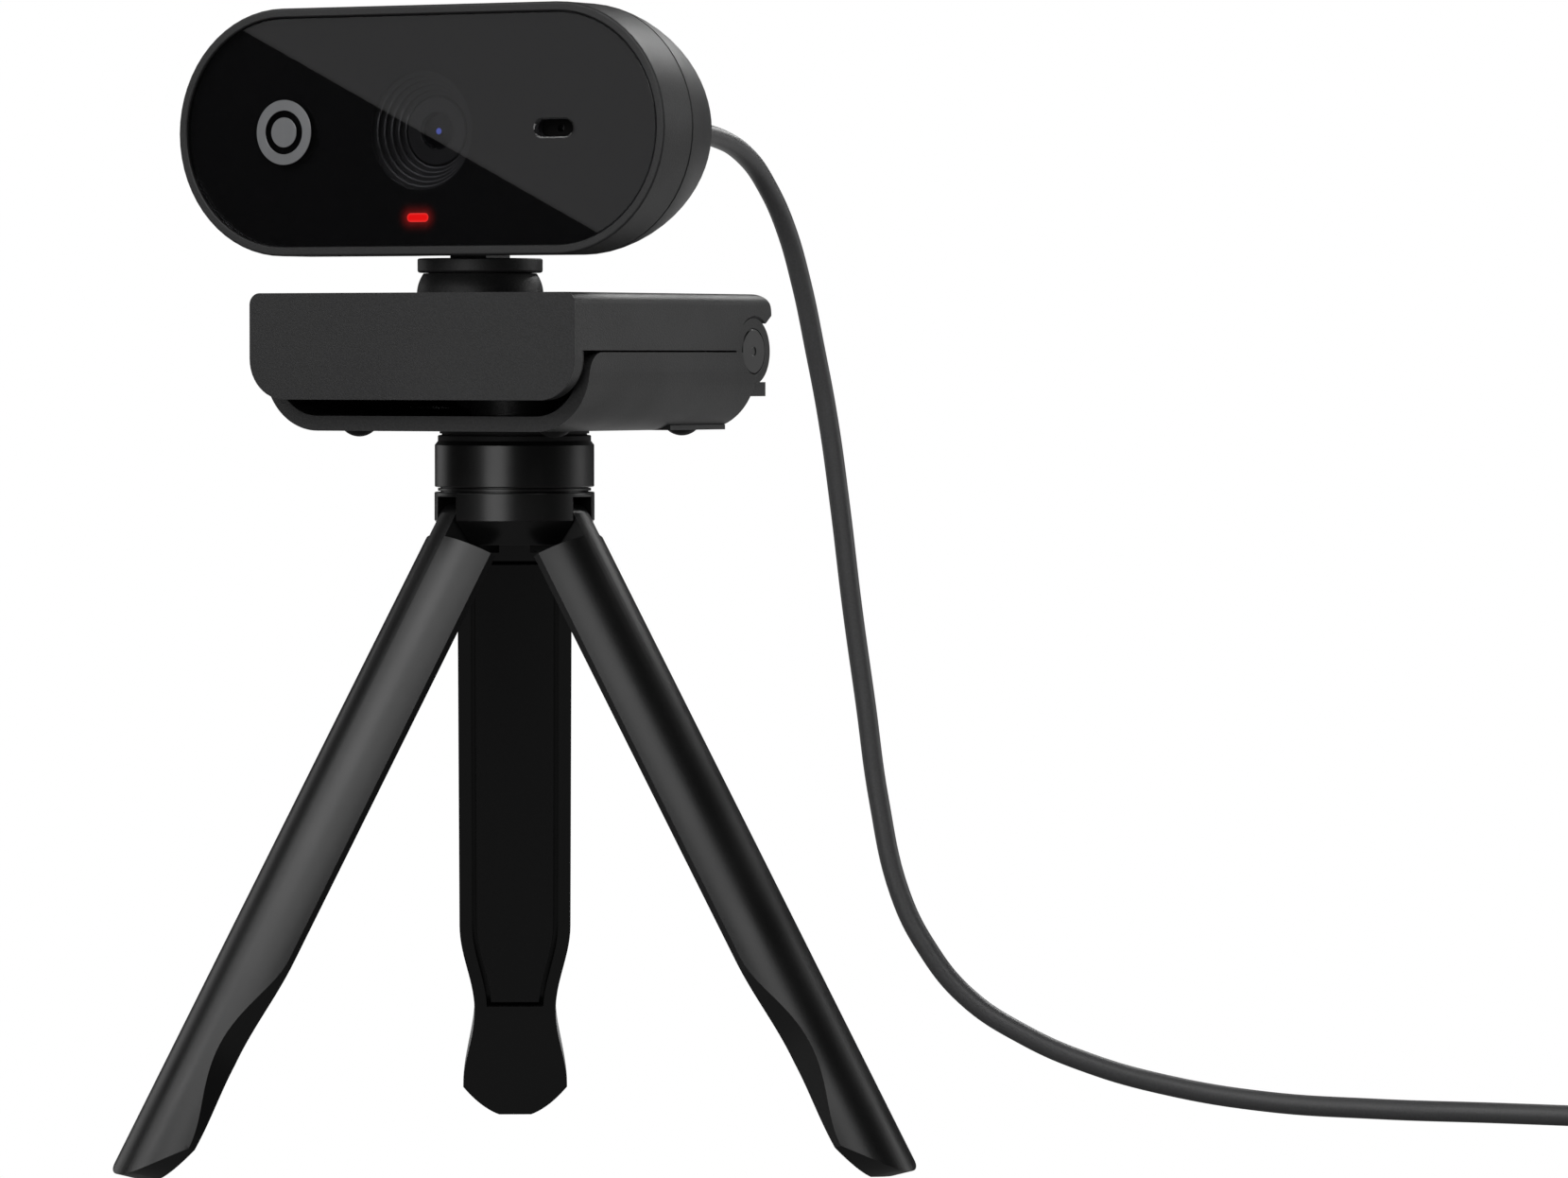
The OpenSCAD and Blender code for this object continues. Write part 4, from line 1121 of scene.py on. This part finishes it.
SPLAY = 30
ARC_R = 10.55
ARC_X = -6.83
INNER_X = -2.9
LEG_HALF_W = 9.33
WAIST_HALF_W = LEG_HALF_W - 2.46
FOOT_HALF_W = LEG_HALF_W - 0.48
SHOULDER = 4.1
WAIST_TOP, WAIST_MID, FOOT_WIDE = 77.5, 95, 111.3
LEG_LENGTH, NOSE_END = 117.4, 117.6
SOLE_TILT = 15
FOOT_THIN = 1.0
NECK_W = 5
KNUCKLE_LEG_R = 3.45
RIM, PANEL_GAP, PANEL_T = 2.1, 0.75, 1.6
PANEL_START, PANEL_END = SHOULDER + 1.6, 93.4
LEG_EDGE = 0.22


def ease(start, end, t):
    """Goes smoothly from start to end as t goes from 0 to 1."""
    return start + (end - start) * (1 - math.cos(math.pi * t)) / 2


def leg_half(s):
    """Half the leg's width at a distance s below its pin."""
    if s < WAIST_TOP:
        return LEG_HALF_W
    if s < WAIST_MID:
        return ease(LEG_HALF_W, WAIST_HALF_W, (s - WAIST_TOP) / (WAIST_MID - WAIST_TOP))
    if s < FOOT_WIDE:
        return ease(WAIST_HALF_W, FOOT_HALF_W, (s - WAIST_MID) / (FOOT_WIDE - WAIST_MID))
    return FOOT_HALF_W


def steps_between(start, end, step):
    count = max(1, round((end - start) / step))
    return [start + (end - start) * i / count for i in range(count + 1)]


def leg_section(half, s, steps=28):
    """The leg cut across: flat inside, an arc outside, and a side wall between them."""
    reach = math.degrees(math.asin(half / ARC_R))
    outside = [(ARC_X + ARC_R * math.cos(math.radians(a)), ARC_R * math.sin(math.radians(a)), -s)
               for a in (reach * (2 * i / steps - 1) for i in range(steps + 1))]
    return [(INNER_X, -half, -s)] + outside + [(INNER_X, half, -s)]


def leg_outline(start, end, inset):
    """The leg seen square to its flat inside, between two distances below the pin."""
    places = [start] + steps_between(WAIST_TOP, end, 1.5)
    return ([(leg_half(s) - inset, -s) for s in places]
            + [(inset - leg_half(s), -s) for s in reversed(places)])


def nose_cutter():
    """What the foot keeps: a blunt nose cut square to a sole that leans out from the leg."""
    wide, up, steps = FOOT_HALF_W + 3, 15, 24
    right = []
    for i in range(steps):
        share = 1 - i / steps
        right.append((FOOT_HALF_W * share, -NOSE_END + (NOSE_END - FOOT_WIDE) * share ** 2))
    outline = [(wide, up - FOOT_WIDE), (wide, -FOOT_WIDE)] + right
    outline += [(-u, v) for u, v in reversed(outline)]
    cutter = prism(outline, "x", -13, 13)
    pivot = Vector((INNER_X, 0, -LEG_LENGTH)) * MM
    tilt = Matrix.Rotation(math.radians(SOLE_TILT), 4, "Y")
    cutter.data.transform(Matrix.Translation(pivot) @ tilt @ Matrix.Translation(-pivot))
    return cutter


def open_leg(turn):
    """The move from a leg drawn hanging from its pin to its open place."""
    pin = Matrix.Translation(Vector((PIN_R, 0, PIN_Z)) * MM)
    return Matrix.Rotation(math.radians(turn), 4, "Z") @ pin @ Matrix.Rotation(math.radians(-SPLAY), 4, "Y")


def leg_shape():
    """One leg, drawn hanging from its pin."""
    places = [SHOULDER] + steps_between(WAIST_TOP, FOOT_WIDE, 1.2)
    bar = loft([leg_section(leg_half(s), s) for s in places])
    foot = loft([leg_section(FOOT_HALF_W, s) for s in (FOOT_WIDE - 0.001, LEG_LENGTH + 5)])
    add(bar, common(foot, nose_cutter()))
    neck = loft([leg_section(NECK_W / 2, s, 8) for s in (0.0, SHOULDER + 2)])
    knuckle = rod("y", (0, 0, 0), KNUCKLE_LEG_R, -NECK_W / 2, NECK_W / 2)
    add(bar, add(neck, knuckle))
    recess = prism(leg_outline(PANEL_START, PANEL_END + PANEL_GAP, RIM), "x",
                   INNER_X - 1, INNER_X + PANEL_T)
    thin = [(INNER_X - 1, -WAIST_MID - 1), (INNER_X, -WAIST_MID - 1), (INNER_X + FOOT_THIN, -LEG_LENGTH),
            (INNER_X + FOOT_THIN, -LEG_LENGTH - 6), (INNER_X - 1, -LEG_LENGTH - 6)]
    bore = rod("y", (0, 0, 0), 0.95, -NECK_W, NECK_W, 24)
    cut(bar, recess, prism(thin, "y", -13, 13), bore)
    bar.data.transform(open_leg(0))
    cut(bar, box((0, -30, -30), (120, 30, 0)))
    return soften(bar, LEG_EDGE, 30)


def panel_shape():
    """The inlay in a leg's flat inside."""
    outline = leg_outline(PANEL_START + PANEL_GAP, PANEL_END, RIM + PANEL_GAP)
    panel = prism(outline, "x", INNER_X + 0.1, INNER_X + PANEL_T)
    panel.data.transform(open_leg(0))
    return soften(panel, 0.15)


def make_legs():
    """The three legs and their inlays, each one shape turned to three places."""
    stems = ((leg_shape(), "tripod_leg_", "leg_"), (panel_shape(), "leg_inlay_", "leg_panel_"))
    for shape, stem, node_stem in stems:
        for name, turn in LEG_TURNS.items():
            piece = bpy.data.objects.new("piece", shape.data.copy())
            collection.objects.link(piece)
            piece.data.transform(Matrix.Rotation(math.radians(turn), 4, "Z"))
            fit(smooth(piece), stem + name, node_stem + name)
        bpy.data.objects.remove(shape)


make_legs()


# ---------- inner parts, whose CAD shape stays ----------

for node, cad in frame["nodes"].items():
    cad.data.materials.clear()
    cad.data.materials.append(deep_black if node == "mic_gasket" else MATERIALS[SLOT_OF[node]])


# ---------- floor, lights and background ----------

WHITE = (1, 1, 1, 1)
# How bright the surroundings are to everything but the camera
DIM = 0.02
CARD_GLOW = 0.56
CARD_DEEP = 0.22
# Where the slanting line crosses the plate, as shares of the head's width and height
LINE_ACROSS, LINE_UP = 0.36, 0.41
# Name, direction from +X towards +Y and height in degrees, distance, width and height in metres, radiance
SOFTBOXES = (
    ("left_high", 230, 35, 1.0, 0.9, 0.55, 1.6),
    ("left_low", 170, 6, 1.1, 0.6, 0.45, 0.7),
    ("front_high", -74, 40, 0.9, 2.1, 0.5, 2.1),
    ("front_low", -85, 1, 0.55, 0.3, 0.2, 3.0),
    ("rear_high", 88, 31, 1.2, 0.45, 0.35, 8.0),
    ("right_low", 50, 11, 1.3, 0.6, 0.45, 2.2),
    ("top_light", -60, 78, 1.2, 0.6, 0.6, 1.2),
)


def emitter(name, strength):
    """A material that glows white."""
    material, surface = bare(name)
    glow = add_node(material, "ShaderNodeEmission", {"Color": WHITE, "Strength": strength})
    material.node_tree.links.new(glow.outputs["Emission"], surface)
    return material


def panel(name, points, material):
    """A flat stage panel through four points in metres."""
    mesh = bpy.data.meshes.new(name)
    mesh.from_pydata(points, [], [(0, 1, 2, 3)])
    mesh.materials.append(material)
    piece = bpy.data.objects.new(name, mesh)
    collection.objects.link(piece)
    return piece


def floor_panel(name, low, high, z, material):
    """A flat panel between two corners, at one height."""
    return panel(name, [(low[0], low[1], z), (high[0], low[1], z), (high[0], high[1], z),
                        (low[0], high[1], z)], material)


def pale_floor():
    """Two floors in one place: the one that is seen is pure white, the other lights the object."""
    reach = 60
    seen = floor_panel("floor", (-reach, -reach), (reach, reach), -0.0002, emitter("floor_white", 1.0))
    seen.visible_diffuse = seen.visible_glossy = seen.visible_transmission = False
    seen.visible_shadow = False
    left, right, front, split, back = -0.6, 1.0, -0.8, 0.16, 1.4
    for name, near, far, strength in (("floor_near", front, split, 0.15), ("floor_far", split, back, 0.8)):
        glow = emitter(name + "_glow", strength)
        bounce = floor_panel(name, (left, near), (right, far), -0.0004, glow)
        bounce.visible_camera = bounce.visible_shadow = False


def softbox(name, azimuth, elevation, distance, width, height, radiance):
    """A soft area light that faces the middle of the object."""
    data = bpy.data.lights.new(name, "AREA")
    data.shape = "RECTANGLE"
    data.size = width
    data.size_y = height
    data.energy = radiance * math.pi * width * height
    light = bpy.data.objects.new(name, data)
    turn, rise = math.radians(azimuth), math.radians(elevation)
    away = Vector((math.cos(turn) * math.cos(rise), math.sin(turn) * math.cos(rise), math.sin(rise)))
    light.location = Vector((0, 0, 0.12)) + away * distance
    light.rotation_euler = (-away).to_track_quat("-Z", "Y").to_euler()
    collection.objects.link(light)


def plate_card():
    """The pale card whose straight lower edge shows as the slanting line across the front plate."""
    plane_y = glass_low.y * MM
    mirrored_eye = Vector((eye.x, 2 * plane_y - eye.y, eye.z))
    line_left = Vector((-LINE_ACROSS * HEAD_W, glass_low.y, HEAD_Z + LINE_UP * HEAD_H)) * MM
    line_right = Vector((LINE_ACROSS * HEAD_W, glass_low.y, HEAD_Z - LINE_UP * HEAD_H)) * MM
    reach = 0.42
    left = line_left + (line_left - mirrored_eye) * reach
    right = line_right + (line_right - mirrored_eye) * reach
    along = (right - left).normalized()
    up = Vector((-along.z, 0, along.x))
    start, end = left - along * 0.08, right + along * 0.08
    top = up * CARD_DEEP
    card = panel("plate_card", [start, end, end + top, start + top], emitter("card_glow", CARD_GLOW))
    card.visible_camera = card.visible_diffuse = card.visible_shadow = False


def backdrop():
    """White where the camera sees past the object, and dim for the light that falls on it."""
    world = bpy.data.worlds.new("studio")
    world.use_nodes = True
    nodes = world.node_tree.nodes
    seen = nodes["Background"]
    seen.inputs["Color"].default_value = WHITE
    dim = add_node(world, "ShaderNodeBackground", {"Color": WHITE, "Strength": DIM})
    camera_ray = add_node(world, "ShaderNodeLightPath").outputs["Is Camera Ray"]
    mix = add_node(world, "ShaderNodeMixShader", {"Fac": camera_ray, 1: dim.outputs[0], 2: seen.outputs[0]})
    world.node_tree.links.new(mix.outputs[0], nodes["World Output"].inputs["Surface"])
    bpy.context.scene.world = world


pale_floor()
plate_card()
backdrop()
for settings in SOFTBOXES:
    softbox(*settings)
bpy.context.scene.view_settings.view_transform = "Standard"
